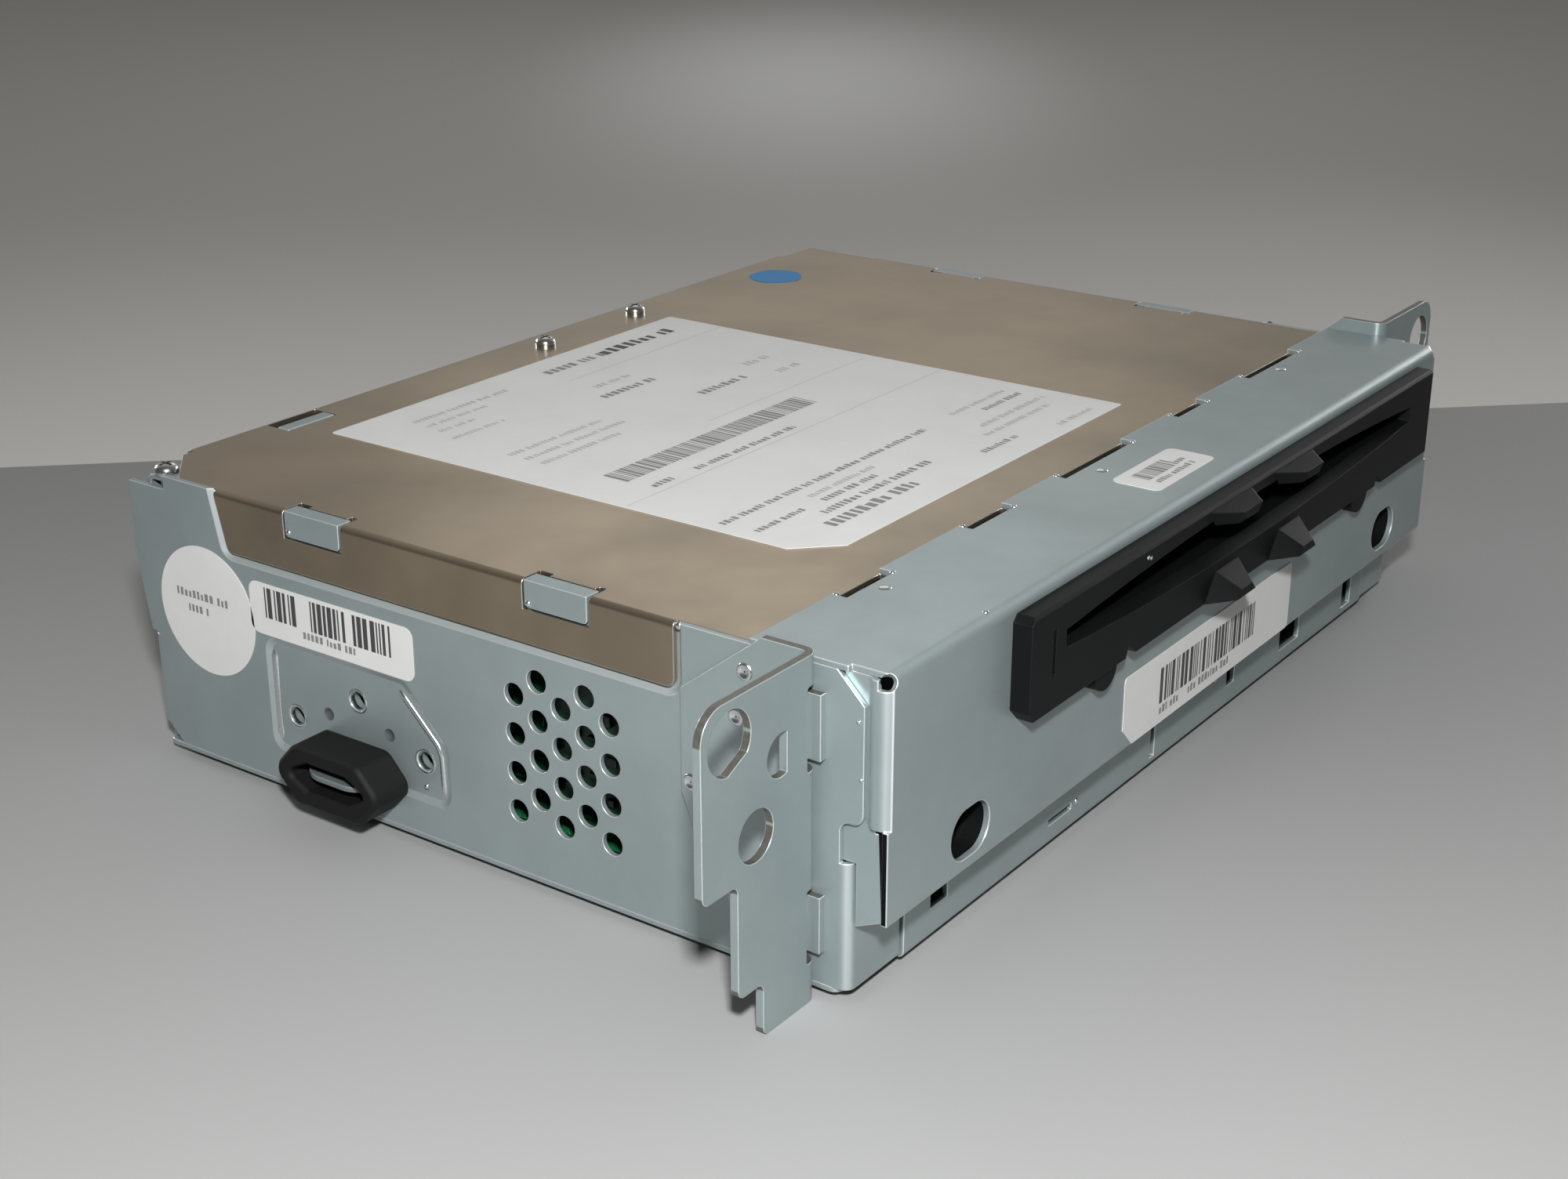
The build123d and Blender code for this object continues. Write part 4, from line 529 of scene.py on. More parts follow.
def add_dome(mesh, centre, up, radius, height, sides=24):
    """A low pressed bump."""
    steps = 5
    turns = [math.pi / 2 * step / steps for step in range(steps)]
    profile = [(radius * math.cos(turn), height * math.sin(turn)) for turn in turns]
    last = add_turned(mesh, centre, up, profile, sides)[-1]
    top = mesh.verts.new(centre + Vector(up).normalized() * height)
    for i in range(sides):
        mesh.faces.new((last[i], last[(i + 1) % sides], top)).smooth = True


# Finishes of the CAD pieces


class DISCPLAYER_OT_case_finish(bpy.types.Operator):
    """Zinc plate on the folded sheets of the case and ears"""

    bl_idname = "discplayer.case_finish"
    bl_label = "Case Finish"

    def execute(self, context):
        look = context.scene.disc_player_finishes
        base = look.zinc
        patch = tuple(value * 0.9 for value in base)
        plain = (base, patch, look.cut_edge_and_highlight, look.zinc_roughness, 45.0)
        wear("zinc_steel", sheet_finish("Zinc plate", *plain, look.edge_radius, metallic=0.55, bend_highlight=0.22))
        wear("zinc_steel", sheet_finish(
            "Pressed zinc plate", *plain, look.edge_radius * 0.75, metallic=0.55, bend_highlight=0.3,
            least=(0.1, -1.0),
        ), ("left_side_plate", "right_side_plate"))
        wear("zinc_steel", sheet_finish(
            "Sheared zinc plate", *plain, look.edge_radius * 0.6, metallic=0.55, sheared=look.sheared,
        ), ("left_ear_bracket", "right_ear_bracket"))
        # The tongue in the sleeve's slit is a darker copy of the zinc as painted shade, with the plate's zinc
        # on its edges as painted highlight
        tongue_shade = tuple(value * 0.5 for value in base)
        wear("zinc_steel", sheet_finish(
            "Tongue steel", tongue_shade, tongue_shade, base, 0.45, 45.0, look.edge_radius, metallic=0.4, bend_highlight=0.0,
        ), ("locating_tongue",))
        return {"FINISHED"}


class DISCPLAYER_OT_cover_finish(bpy.types.Operator):
    """Blotchy warm grey plate on the top cover"""

    bl_idname = "discplayer.cover_finish"
    bl_label = "Cover Finish"

    def execute(self, context):
        look = context.scene.disc_player_finishes
        wear("cover_steel", sheet_finish(
            "Cover plate", look.cover, look.cover_stain, look.cut_edge_and_highlight,
            0.3, 34.0, look.edge_radius * 0.8, metallic=0.94, spread=(0.33, 0.67), fine=0.12, bend_highlight=0.25,
        ))
        return {"FINISHED"}


class DISCPLAYER_OT_plastic_finish(bpy.types.Operator):
    """Black, blue and white mouldings and the lens"""

    bl_idname = "discplayer.plastic_finish"
    bl_label = "Plastic Finish"

    def execute(self, context):
        look = context.scene.disc_player_finishes
        wear("black_plastic", moulded_finish(
            "Black moulding", look.black, 0.5, edge_highlight_lift=0.01, gloss=0.17,
        ))
        wear("blue_plastic", moulded_finish("Blue moulding", (0.02, 0.055, 0.24), 0.45))
        wear("white_plastic", moulded_finish("White moulding", look.white, 0.4, edge_highlight_lift=0.04))
        lens, _, shader = new_material("Lens glass", (0.35, 0.42, 0.62), 0.0, 0.05)
        shader.inputs["Transmission Weight"].default_value = 0.6
        shader.inputs["Coat Weight"].default_value = 0.6
        wear("lens_glass", lens)
        return {"FINISHED"}


class DISCPLAYER_OT_rubber_finish(bpy.types.Operator):
    """Rubber and felt pieces"""

    bl_idname = "discplayer.rubber_finish"
    bl_label = "Rubber and Felt Finish"

    def execute(self, context):
        look = context.scene.disc_player_finishes
        wear("black_rubber", moulded_finish(
            "Rubber", look.rubber, 0.62, 900.0, 0.12, 0.0006, 0.004, gloss=0.22,
        ))
        wear("felt", moulded_finish("Felt", (0.016, 0.016, 0.016), 0.95, 4000.0, 0.6, 0.0002, 0.01))
        return {"FINISHED"}


class DISCPLAYER_OT_mechanism_finish(bpy.types.Operator):
    """Deck sheets, turned metal, motor cans and contacts"""

    bl_idname = "discplayer.mechanism_finish"
    bl_label = "Mechanism Finish"

    def execute(self, context):
        look = context.scene.disc_player_finishes
        base = look.deck
        wear("deck_steel", sheet_finish(
            "Deck plate", base, tuple(value * 0.88 for value in base), look.cut_edge_and_highlight, 0.36, 60.0,
            look.edge_radius * 0.7,
        ))
        wear("screw_chrome", turned_finish("Bright plate", (0.72, 0.73, 0.72), 0.2))
        wear("bare_aluminium", turned_finish("Bare aluminium", (0.62, 0.62, 0.63), 0.35))
        wear("contact_brass", turned_finish("Contact brass", (0.66, 0.49, 0.2), 0.25))
        return {"FINISHED"}


class DISCPLAYER_OT_board_finish(bpy.types.Operator):
    """Green lacquer with paler copper tracks on the circuit board"""

    bl_idname = "discplayer.board_finish"
    bl_label = "Board Finish"

    def execute(self, context):
        look = context.scene.disc_player_finishes
        base = look.board
        material, tree, shader = new_material("Board lacquer", base, 0.0, 0.3)
        place = place_node(tree, "ShaderNodeTexCoord").outputs["Object"]
        cells = place_node(tree, "ShaderNodeTexVoronoi", {
            "Vector": place, "Scale": 320.0, "Randomness": 0.35,
        }, feature="DISTANCE_TO_EDGE")
        track = remapped(tree, cells.outputs["Distance"], 0.02, 0.06, 1.0, 0.0)
        paler = tuple(min(1.0, value * 1.9 + 0.01) for value in base)
        tree.links.new(colour_mix(tree, track, base, paler), shader.inputs["Base Color"])
        shader.inputs["Coat Weight"].default_value = 0.3
        wear("board_green", material)
        return {"FINISHED"}


# Labels


def label_materials(context):
    """Paper and the three inks, shared by all the labels."""
    look = context.scene.disc_player_labels
    paper = bpy.data.materials.get("Label paper")
    if paper is None:
        paper, tree, shader = new_material("Label paper", look.paper, 0.0, 0.38)
        mottle = shared_group(tree, "Mottle", {"Scale": 90.0, "Low": 0.3, "High": 0.75})
        duller = tuple(value * 0.94 for value in look.paper)
        tree.links.new(
            colour_mix(tree, mottle.outputs["Mask"], look.paper, duller), shader.inputs["Base Color"]
        )
    inks = [
        bpy.data.materials.get(name) or new_material(name, tint, 0.0, 0.5)[0]
        for name, tint in (("Dark ink", look.ink), ("Grey ink", look.grey_ink), ("Pale ink", look.pale_ink))
    ]
    return [paper, *inks]


def blank_label(look, outline):
    """A label's paper with the given outline, and the level of its print."""
    mesh = bmesh.new()
    add_paper(mesh, outline, look.paper_thickness)
    return mesh, look.paper_thickness + look.ink_lift


def finished_label(context, name, mesh, origin, across, up):
    """Lays a printed label on the case: its x runs along across and its y along up."""
    across, up = Vector(across), Vector(up)
    out = across.cross(up)
    turned = Matrix((across, up, out)).transposed().to_4x4()
    mesh.transform(Matrix.Translation(origin + out * LIFT) @ turned)
    mesh_object(name, mesh, label_materials(context))


class DISCPLAYER_OT_cover_label(bpy.types.Operator):
    """Large label on the top cover, with rows of dashes, thin rules and a block of stripes"""

    bl_idname = "discplayer.cover_label"
    bl_label = "Cover Label"

    def execute(self, context):
        require_nodes("top_cover")
        look = context.scene.disc_player_labels
        chance = random.Random(look.seed)
        mesh, level = blank_label(look, rounded_outline(*mm(87.6, 96.0, 0.6), cut=0.0062))
        for x, y, length, tall, ink in COVER_ROWS:
            add_dashes(mesh, chance, *mm(x, y, length, tall), level, ink)
        add_stripes(mesh, chance, *mm(9.0, 42.0, 50.0, 4.9), level, 0.00026, GREY_INK)
        for x, y, length in ((0.5, 35.2, 86.6), (40.0, 50.4, 46.0), (44.0, 83.6, 43.0)):
            add_mark(mesh, *mm(x, y, length, 0.14), level, PALE_INK)
        origin = at_case(29.8, 30.6, 45.3)
        finished_label(context, "cover_label", mesh, origin, (1, 0, 0), (0, 1, 0))
        return {"FINISHED"}


class DISCPLAYER_OT_hood_label(bpy.types.Operator):
    """Small label on the hood's top strip with stripes and dashes"""

    bl_idname = "discplayer.hood_label"
    bl_label = "Hood Label"

    def execute(self, context):
        look = context.scene.disc_player_labels
        chance = random.Random(look.seed + 1)
        mesh, level = blank_label(look, rounded_outline(*mm(19.4, 8.2, 1.4)))
        add_stripes(mesh, chance, *mm(3.6, 3.4, 9.6, 3.2), level, 0.00026, GREY_INK)
        add_dashes(mesh, chance, *mm(3.6, 1.6, 12.2, 1.1), level)
        add_dashes(mesh, chance, *mm(13.6, 3.6, 2.8, 1.2), level)
        origin = at_case(79.6, 4.6, 0)
        origin.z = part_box("front_hood")[1].z
        finished_label(context, "hood_label", mesh, origin, (1, 0, 0), (0, 1, 0))
        return {"FINISHED"}


class DISCPLAYER_OT_front_label(bpy.types.Operator):
    """Label under the slot bezel with a block of stripes"""

    bl_idname = "discplayer.front_label"
    bl_label = "Front Label"

    def execute(self, context):
        look = context.scene.disc_player_labels
        chance = random.Random(look.seed + 2)
        mesh, level = blank_label(look, rounded_outline(*mm(58.4, 11.6, 0.8), cut=0.0032))
        add_stripes(mesh, chance, *mm(11.6, 3.3, 33.1, 5.8), level, 0.00032)
        add_dashes(mesh, chance, *mm(11.8, 1.5, 6.2, 1.3), level)
        add_dashes(mesh, chance, *mm(21.4, 1.5, 15.0, 1.3), level)
        finished_label(context, "front_label", mesh, at_case(62.8, 0, 11.5), (1, 0, 0), (0, 0, 1))
        return {"FINISHED"}


class DISCPLAYER_OT_side_labels(bpy.types.Operator):
    """Striped label and round label on the left wall"""

    bl_idname = "discplayer.side_labels"
    bl_label = "Side Labels"

    def execute(self, context):
        look = context.scene.disc_player_labels
        chance = random.Random(look.seed + 3)
        striped, level = blank_label(look, rounded_outline(*mm(33.8, 8.4, 1.6)))
        for x, length in ((3.3, 7.2), (13.0, 7.2), (21.8, 7.6)):
            add_stripes(striped, chance, *mm(x, 2.9, length, 4.9), level, 0.0003)
        add_dashes(striped, chance, *mm(11.2, 1.4, 11.2, 1.1), level)
        finished_label(context, "stripe_label", striped, at_case(0, 114.6, 24.2), (0, -1, 0), (0, 0, 1))
        radius = look.round_radius
        turns = [2 * math.pi * step / 64 for step in range(64)]
        circle = [(radius * math.cos(turn), radius * math.sin(turn)) for turn in turns]
        disc, level = blank_label(look, circle)
        add_dashes(disc, chance, *mm(-6.6, 1.5, 11.4, 1.3), level)
        add_dashes(disc, chance, *mm(-4.2, -0.8, 4.4, 1.2), level)
        finished_label(context, "round_label", disc, at_case(0, 124.6, 24.9), (0, -1, 0), (0, 0, 1))
        return {"FINISHED"}


class DISCPLAYER_OT_paint_dot(bpy.types.Operator):
    """Blue dot of paint at the rear of the cover"""

    bl_idname = "discplayer.paint_dot"
    bl_label = "Paint Dot"

    def execute(self, context):
        look = context.scene.disc_player_labels
        material, _, shader = new_material("Blue paint", look.dot, 0.0, 0.35)
        shader.inputs["Specular IOR Level"].default_value = 0.25
        chance = random.Random(look.seed + 4)
        mesh = bmesh.new()
        turns = [2 * math.pi * step / 48 for step in range(48)]
        waves = [(chance.uniform(0, 6.3), chance.uniform(0.01, 0.03), k) for k in (2, 3, 5)]
        points = []
        for turn in turns:
            reach = look.dot_radius * (1 + sum(size * math.sin(k * turn + lag) for lag, size, k in waves))
            points.append((reach * math.cos(turn), reach * math.sin(turn)))
        paint_thickness = 0.00006
        add_paper(mesh, points, paint_thickness)
        mesh.transform(Matrix.Translation(at_case(154.5, 128.6, 45.32)))
        mesh_object("paint_dot", mesh, [material])
        return {"FINISHED"}


# Small pressed details


def glint_zinc():
    """Zinc painted much brighter than the plate, shared by the small pressed details so that they glint:
    painted highlight.
    """
    return bpy.data.materials.get("Glint zinc") or turned_finish(
        "Glint zinc", (0.78, 0.82, 0.82), 0.24, stretch=1.0,
    )


class DISCPLAYER_OT_hood_dimples(bpy.types.Operator):
    """Spot-weld dimples and sheared corners of the hood's top strip, in bright zinc as painted highlight."""

    bl_idname = "discplayer.hood_dimples"
    bl_label = "Hood Dimples"

    def execute(self, context):
        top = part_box("front_hood")[1].z
        mesh = bmesh.new()
        for x, y in ((24.1, 16.7), (83.4, 16.2), (149.6, 16.8)):
            centre = at_case(x, y, 0)
            centre.z = top - LIFT
            add_dome(mesh, centre, (0, 0, 1), *mm(0.95, 0.22))
        for x, y in (
            (18.6, 20.7), (29.4, 18.9), (50.3, 20.7), (61.7, 18.9), (77.3, 20.7), (98.7, 18.9), (114.8, 20.7),
            (125.2, 18.9), (141.8, 20.7), (162.2, 18.9), (24.7, 1.5),
        ):
            centre = at_case(x, y, 0)
            centre.z = top - 0.0001
            add_dome(mesh, centre, (0, 0, 1), *mm(0.45, 0.34))
        mesh_object("hood_dimples", mesh, [glint_zinc()])
        return {"FINISHED"}


class DISCPLAYER_OT_panel_pressings(bpy.types.Operator):
    """Rolled edges of the three panel holes and the ridge of the pressed panel in bright zinc as painted
    highlight, and the two closed pips darkened as painted shade.
    """

    bl_idname = "discplayer.panel_pressings"
    bl_label = "Panel Pressings"

    def execute(self, context):
        require_nodes("left_side_plate", "locating_tongue")
        out = Vector((-1, 0, 0))
        floor = 0.5  # the pressed panel lies this far inside the wall
        mesh = bmesh.new()
        rolled = (
            (2.0, 0.0), (1.92, 0.08), (1.8, 0.1), (1.68, 0.03), (1.58, -0.14), (1.51, -0.42), (1.48, -0.9),
        )
        for y, z in ((80.3, 11.75), (93.6, 17.8), (106.9, 11.75)):
            add_turned(mesh, at_case(floor, y, z), out, [mm(*pair) for pair in rolled])
        ridge = [at_case(floor, y, z) for y, z in ((84.6, 21.9), (77.6, 15.0), (76.9, 13.4), (76.7, 7.2))]
        add_bead(mesh, line_points(ridge), out, *mm(0.95, 0.3))
        border = [at_case(floor, y, z) for y, z in ((110.9, 21.6), (110.9, 7.0))]
        add_bead(mesh, line_points(border), out, *mm(1.3, 0.26))
        mesh_object("panel_pressings", mesh, [glint_zinc()])
        closed = bmesh.new()
        for y in (87.3, 99.9):
            rings = add_turned(closed, at_case(floor, y, 14.0), out, [
                mm(*pair) for pair in ((1.05, 0.0), (0.95, 0.02), (0.8, -0.06), (0.5, -0.22), (0.2, -0.3))
            ])
            closed.faces.new(rings[-1])
        mesh_object("panel_pips", closed, [self.pip_shade_zinc(context)])
        return {"FINISHED"}

    # The two pips' hollows: a darker copy of the zinc, painted shade
    def pip_shade_zinc(self, context):
        look = context.scene.disc_player_finishes
        dark = tuple(value * 0.3 for value in look.zinc)
        return sheet_finish(
            "Pip shade zinc", dark, dark, look.zinc, 0.5, 60.0, 0.0001, metallic=0.4, bend_highlight=0.0,
        )


class DISCPLAYER_OT_wall_pressings(bpy.types.Operator):
    """Spot welds of the ear flanges and the sheared corners of the side walls, in bright zinc as painted
    highlight.
    """

    bl_idname = "discplayer.wall_pressings"
    bl_label = "Wall Pressings"

    def execute(self, context):
        require_nodes("left_ear_bracket", "right_ear_bracket", "bottom_cover")
        flange = 1.2  # the ears' flanges lie this far outside the walls
        weld = ((1.25, 0.0), (1.1, 0.2), (0.9, 0.26), (0.7, 0.16), (0.4, 0.04), (0.12, 0.0))
        mesh = bmesh.new()
        for plane, out in ((-flange, -1), (CASE_WIDTH + flange, 1)):
            for y, z in ((21.1, 41.9), (22.5, 35.3), (30.0, 23.8)):
                rings = add_turned(mesh, at_case(plane, y, z), (out, 0, 0), [mm(*pair) for pair in weld])
                mesh.faces.new(rings[-1])
        for plane, out in ((0.0, -1), (CASE_WIDTH, 1)):
            for y, z, radius in (
                (104.9, 42.0, 0.5), (58.4, 41.9, 0.5), (32.5, 45.0, 0.55),
                (4.5, 39.0, 0.35), (4.0, 31.2, 0.3), (79.8, 8.1, 0.4),
            ):
                add_dome(mesh, at_case(plane, y, z), (out, 0, 0), radius / 1000, 0.00032)
        for x, z in ((59.7, 3.1), (106.0, 6.0), (133.0, 7.5)):
            add_dome(mesh, at_case(x, 5.2, z), (0, -1, 0), *mm(0.5, 0.3))
        mesh_object("wall_pressings", mesh, [glint_zinc()])
        return {"FINISHED"}


class DISCPLAYER_OT_hood_shadows(bpy.types.Operator):
    """Painted shade: black cups in the hood's oval holes and dark strips for the shadowed gaps at its
    corners; and the bezel's glint bumps in bright zinc as painted highlight.
    """

    bl_idname = "discplayer.hood_shadows"
    bl_label = "Hood Shade and Glints"

    def execute(self, context):
        require_nodes("front_hood", "slot_bezel")
        shade, _, shader = new_material("Deep shade", (0.003, 0.0033, 0.0035), 0.0, 0.8)
        shader.inputs["Specular IOR Level"].default_value = 0.1
        mesh = bmesh.new()
        for x in (20.2, 161.4):
            self.hole_shade(mesh, x, 16.7)
        mesh_object("oval_hole_shade", mesh, [shade])
        gap_shadows = bmesh.new()
        inset, lift, flap = 0.05, 0.02, 0.77  # millimetres from the side wall's outer plane
        for plane, out in ((inset, -1), (CASE_WIDTH - inset, 1)):
            self.seam(gap_shadows, plane + out * lift, ((0.14, 24.7), (0.14, 11.7), (0.78, 11.7), (0.78, 24.7)))
            self.seam(gap_shadows, plane - out * flap, ((0.9, 24.7), (0.9, 12.0), (1.3, 12.2), (1.9, 24.7)))
        mesh_object("hood_gap_shadows", gap_shadows, [shade])
        glints = bmesh.new()
        for x, z in ((61.9, 42.9), (62.8, 42.6)):
            add_dome(glints, at_case(x, -2.98, z), (0, -1, 0), *mm(0.32, 0.16), sides=12)
        mesh_object("bezel_glints", glints, [glint_zinc()])
        return {"FINISHED"}

    def hole_shade(self, mesh, x, z):
        """A shallow black cup inside the collar of one oval hole: painted shade that darkens the hole."""
        sides, hole_radius, half_straight = 40, 3.7, 1.2
        rings = []
        for depth, shrink in ((0.9, 0.06), (3.4, 0.16), (4.4, 0.5), (4.5, 1.2)):
            radius = hole_radius - shrink
            turns = [2 * math.pi * step / sides for step in range(sides)]
            rings.append([
                mesh.verts.new(at_case(
                    x + math.copysign(half_straight, math.cos(turn)) + radius * math.cos(turn),
                    depth, z + radius * math.sin(turn),
                ))
                for turn in turns
            ])
        for near, far in zip(rings, rings[1:]):
            for i in range(sides):
                after = (i + 1) % sides
                mesh.faces.new((near[i], near[after], far[after], far[i]))
        mesh.faces.new(rings[-1])

    def seam(self, mesh, x, corners):
        """A painted shadow of a gap: a thin dark strip of two skins on an upright plane of the case, from (y,
        z) corners.
        """
        for depth in (0.0, 0.01):
            mesh.faces.new([mesh.verts.new(at_case(x + depth, y, z)) for y, z in corners])


class DISCPLAYER_OT_vent_board(bpy.types.Operator):
    """Small upright circuit board with its parts, seen through the vents; its lacquer is darker than the main
    board's as painted shade.
    """

    bl_idname = "discplayer.vent_board"
    bl_label = "Vent Board"

    def execute(self, context):
        require_nodes("main_board")
        chance = random.Random(context.scene.disc_player_labels.seed + 5)
        mesh = bmesh.new()
        self.block(mesh, (6.4, 41.0, 6.6), (7.6, 68.0, 30.0), 0)
        for row in range(7):
            for column in range(8):
                if chance.random() < 0.25:
                    continue
                wide, tall = chance.uniform(0.9, 2.4), chance.uniform(0.7, 2.0)
                deep = chance.uniform(0.4, 1.1)
                y = 42.2 + column * 3.25 + chance.uniform(0, 0.6)
                z = 8.0 + row * 3.05 + chance.uniform(0, 0.6)
                self.block(mesh, (6.42 - deep, y, z), (6.42, y + wide, z + tall), chance.choice((1, 1, 2, 3)))
        # The lacquer is a darker copy of the board green: painted shade inside the case
        materials = [
            moulded_finish("Shaded board lacquer", (0.003, 0.034, 0.014), 0.35, grain=900.0, edge_highlight_lift=0.01),
            bpy.data.materials["Black moulding"], turned_finish("Dull solder", (0.2, 0.21, 0.2), 0.4),
            moulded_finish("Tan ceramic", (0.11, 0.07, 0.04), 0.4),
        ]
        mesh_object("vent_board", mesh, materials)
        return {"FINISHED"}

    def block(self, mesh, low, high, material):
        """One box with softened edges between two corners in case millimetres."""
        low, high = at_case(*low), at_case(*high)
        made = bmesh.ops.create_cube(mesh, size=1.0)["verts"]
        for vert in made:
            vert.co = Vector([(a + b) / 2 + (b - a) * c for a, b, c in zip(low, high, vert.co)])
        edges = list({edge for vert in made for edge in vert.link_edges})
        rounded = bmesh.ops.bevel(mesh, geom=edges, offset=0.00012, segments=1, affect="EDGES")
        faces = {face for vert in made if vert.is_valid for face in vert.link_faces}
        for face in faces | set(rounded["faces"]):
            face.material_index = material


# Stage


def add_lamp(name, place, target, width, height, power, spread=180.0):
    """A rectangular lamp that looks at a point; the spread is its beam's angle in degrees."""
    data = bpy.data.lights.new(name, "AREA")
    data.shape = "RECTANGLE"
    data.size = width
    data.size_y = height
    data.energy = power
    data.spread = math.radians(spread)
    lamp = bpy.data.objects.new(name, data)
    lamp.location = place
    lamp.rotation_euler = (Vector(target) - Vector(place)).to_track_quat("-Z", "Y").to_euler()
    lamp.visible_camera = False
    bpy.context.scene.collection.objects.link(lamp)


class DISCPLAYER_OT_stage(bpy.types.Operator):
    """Floor and ground, room light, lamps and camera"""

    bl_idname = "discplayer.stage"
    bl_label = "Stage"

    def execute(self, context):
        look = context.scene.disc_player_stage
        self.backdrop(look)
        self.room(context, look)
        add_lamp("Near lamp", (-0.31, -0.2186, 0.247), (-0.04, -0.02, 0.02), 0.025, 0.025, look.near)
        add_lamp("Rear lamp", (0.52, 0.38, 0.42), (0.30, 0.22, 0.0), 0.36, 0.3, look.rear)
        add_lamp("Rear fill", (0.0, 0.62, 0.19), (0.0, 0.06, 0.03), 0.3, 0.1, look.fill, spread=40.0)
        add_lamp("Right fill", (0.68, -0.04, 0.19), (0.08, 0.0, 0.03), 0.3, 0.1, look.fill, spread=40.0)
        self.camera(context, look)
        context.scene.view_settings.view_transform = "Standard"
        return {"FINISHED"}

    def room(self, context, look):
        """Light from all round, stronger from the pale wall far behind the object."""
        world = bpy.data.worlds.new("Room light")
        context.scene.world = world
        world.use_nodes = True
        tree = world.node_tree
        sky = tree.nodes["Background"]
        around = place_node(tree, "ShaderNodeTexCoord").outputs["Generated"]
        far_wall = (0.79, 0.52, 0.32)
        facing = vector_node(tree, "DOT_PRODUCT", around, far_wall)["Value"]
        share = remapped(tree, facing, -0.1, 0.95, easing="SMOOTHSTEP")
        low, high = look.world, look.world_wall
        shade = colour_mix(tree, share, (low, low, low), (high, high * 0.985, high * 0.94))
        tree.links.new(shade, sky.inputs["Color"])
        sky.inputs["Strength"].default_value = 1.0

    def backdrop(self, look):
        """A grey floor sheet with one straight edge, and the paler ground that it lies on; a painted shadow
        on the floor and a painted glow on the ground.
        """
        half = 2.5
        left, right = Vector((-0.0183, 0.2106, 0)), Vector((0.2285, -0.0516, 0))
        along = (right - left).normalized()
        away = Vector((-along.y, along.x, 0))
        mesh = bmesh.new()
        rows = [
            [mesh.verts.new(left + along * reach + away * depth) for depth in (-half, 0.0, half)]
            for reach in (-half, half)
        ]
        for i in range(2):
            face = mesh.faces.new((rows[0][i], rows[1][i], rows[1][i + 1], rows[0][i + 1]))
            face.material_index = i
        data = bpy.data.meshes.new("Backdrop")
        mesh.to_mesh(data)
        mesh.free()
        # The ground's paler oval is a painted glow, the floor's darker oval a painted shadow
        lit = tuple(min(1.0, 0.05 + value * 1.7) for value in look.ground)
        dim = tuple(value * 0.62 for value in look.floor)
        data.materials.append(self.paint("Floor paint", look.floor, dim, (0.106, 0.10), (0.36, 0.9)))
        data.materials.append(self.paint("Ground paint", look.ground, lit, (0.52, 0.37), (0.34, 0.15)))
        sheet = bpy.data.objects.new("backdrop", data)
        bpy.context.scene.collection.objects.link(sheet)

    def paint(self, name, base, light_pool_tint, centre, reach):
        """Paint with one soft oval of another grey: a painted glow where paler and a painted shadow where
        darker; reach is half its length and width.
        """
        material, tree, shader = new_material(name, base, 0.0, 0.6)
        place = place_node(tree, "ShaderNodeTexCoord").outputs["Object"]
        turn = (0, 0, 0.62)
        shifted = place_node(tree, "ShaderNodeMapping", {
            "Vector": place, "Location": (*centre, 0.0), "Rotation": turn,
        }, vector_type="TEXTURE")
        scaled = vector_node(tree, "MULTIPLY", shifted.outputs[0], (1 / reach[0], 1 / reach[1], 0.0))
        far = vector_node(tree, "LENGTH", scaled["Vector"])["Value"]
        mask = remapped(tree, far, 1.0, 0.0, easing="SMOOTHSTEP")
        tree.links.new(colour_mix(tree, mask, base, light_pool_tint), shader.inputs["Base Color"])
        return material

    def camera(self, context, look):
        data = bpy.data.cameras.new("Camera")
        data.lens = look.lens
        data.sensor_width = 36
        data.clip_start = 0.01
        data.clip_end = 20
        camera = bpy.data.objects.new("Camera", data)
        camera.location = (-0.30142, -0.20254, 0.16051)
        view = Vector((0.75421849, 0.54054201, -0.3727852))
        camera.rotation_euler = view.to_track_quat("-Z", "Y").to_euler()
        context.scene.collection.objects.link(camera)
        context.scene.camera = camera


class DISCPLAYER_PT_pieces(bpy.types.Panel):
    """Lists the pieces of the disc player's looks"""

    bl_idname = "DISCPLAYER_PT_pieces"
    bl_label = "Disc Player"
    bl_space_type = "VIEW_3D"
    bl_region_type = "UI"
    bl_category = "Disc Player"

    def draw(self, context):
        for operator in OPERATORS:
            self.layout.operator(operator.bl_idname)
        for group, settings in SETTINGS.items():
            box = self.layout.box()
            for name in settings.__annotations__:
                box.prop(getattr(context.scene, group), name)


SETTINGS = {
    "disc_player_finishes": DiscPlayerFinishes,
    "disc_player_labels": DiscPlayerLabels,
    "disc_player_stage": DiscPlayerStage,
}
OPERATORS = (
    DISCPLAYER_OT_case_finish,
    DISCPLAYER_OT_cover_finish,
    DISCPLAYER_OT_plastic_finish,
    DISCPLAYER_OT_rubber_finish,
    DISCPLAYER_OT_mechanism_finish,
    DISCPLAYER_OT_board_finish,
    DISCPLAYER_OT_cover_label,
    DISCPLAYER_OT_hood_label,
    DISCPLAYER_OT_front_label,
    DISCPLAYER_OT_side_labels,
    DISCPLAYER_OT_paint_dot,
    DISCPLAYER_OT_hood_dimples,
    DISCPLAYER_OT_panel_pressings,
    DISCPLAYER_OT_wall_pressings,
    DISCPLAYER_OT_hood_shadows,
    DISCPLAYER_OT_vent_board,
    DISCPLAYER_OT_stage,
)
CLASSES = (*SETTINGS.values(), *OPERATORS, DISCPLAYER_PT_pieces)


def register():
    for cls in CLASSES:
        bpy.utils.register_class(cls)
    for name, settings in SETTINGS.items():
        setattr(bpy.types.Scene, name, bpy.props.PointerProperty(type=settings))


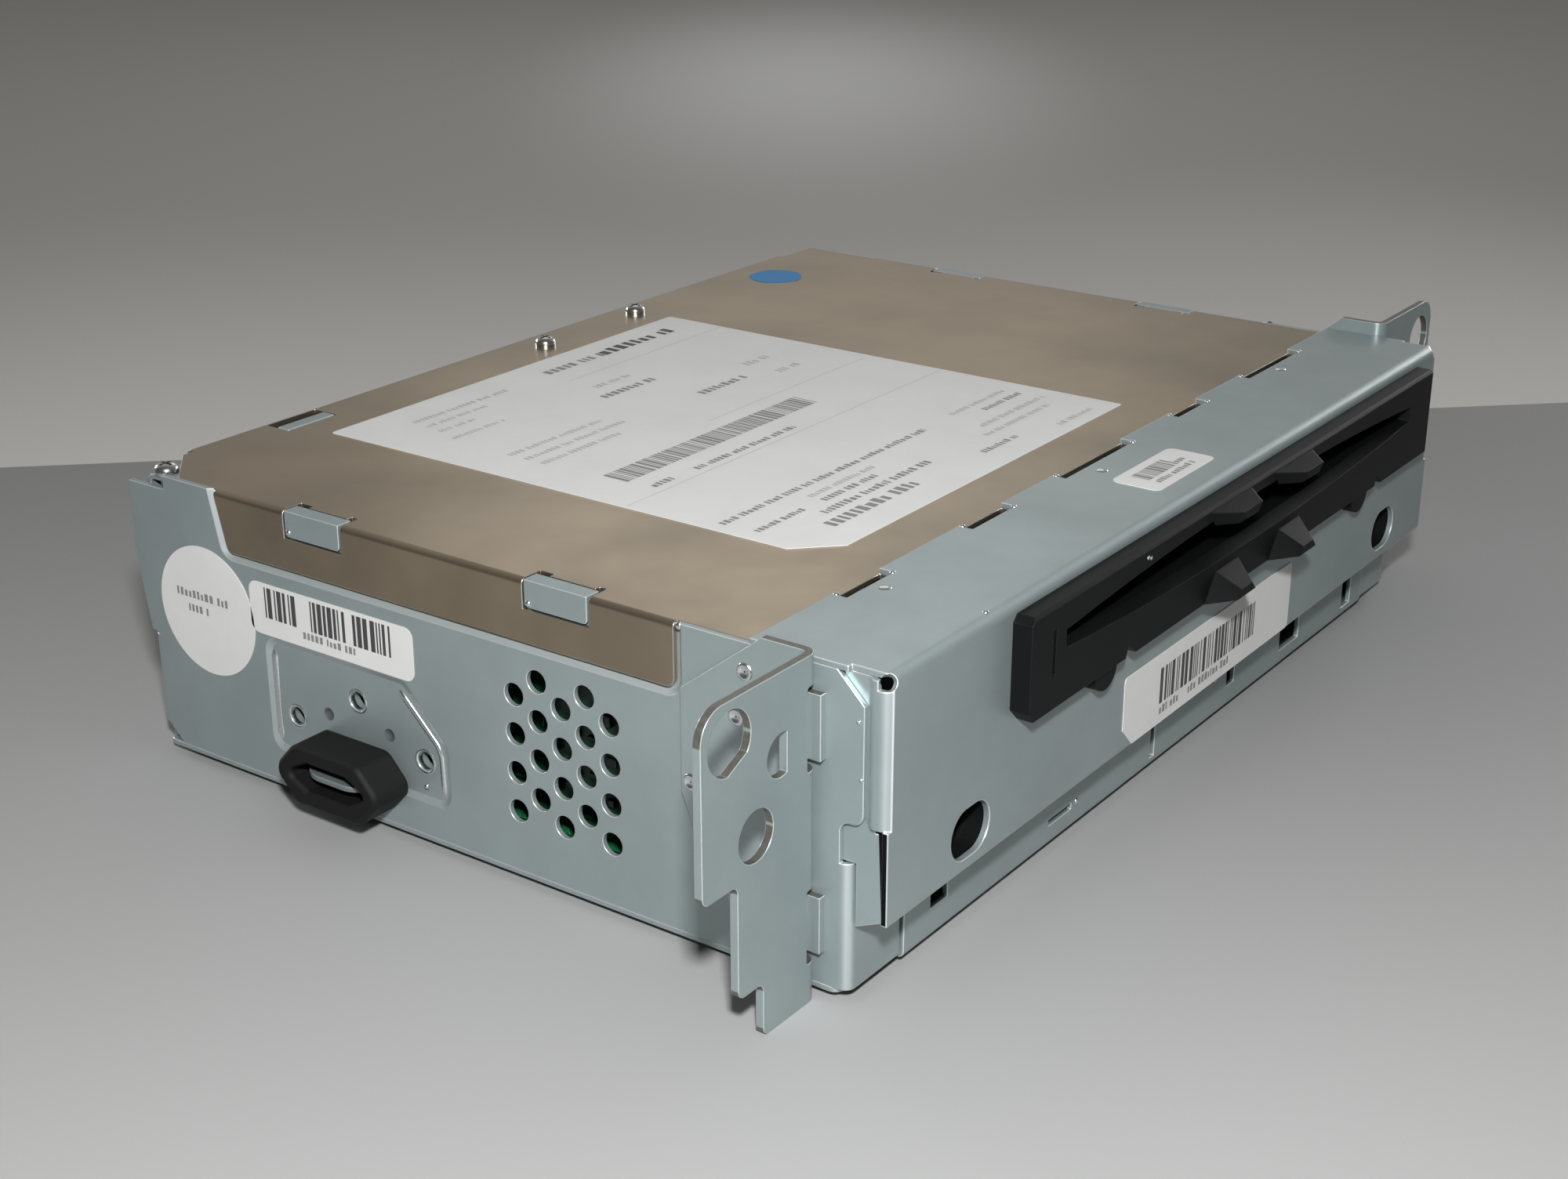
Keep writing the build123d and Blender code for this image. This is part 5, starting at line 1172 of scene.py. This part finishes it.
def unregister():
    for name in SETTINGS:
        delattr(bpy.types.Scene, name)
    for cls in reversed(CLASSES):
        bpy.utils.unregister_class(cls)


def main():
    """Builds the looks piece by piece."""
    register()
    for operator in OPERATORS:
        group, name = operator.bl_idname.split(".")
        getattr(getattr(bpy.ops, group), name)()


if __name__ == "__main__":
    main()
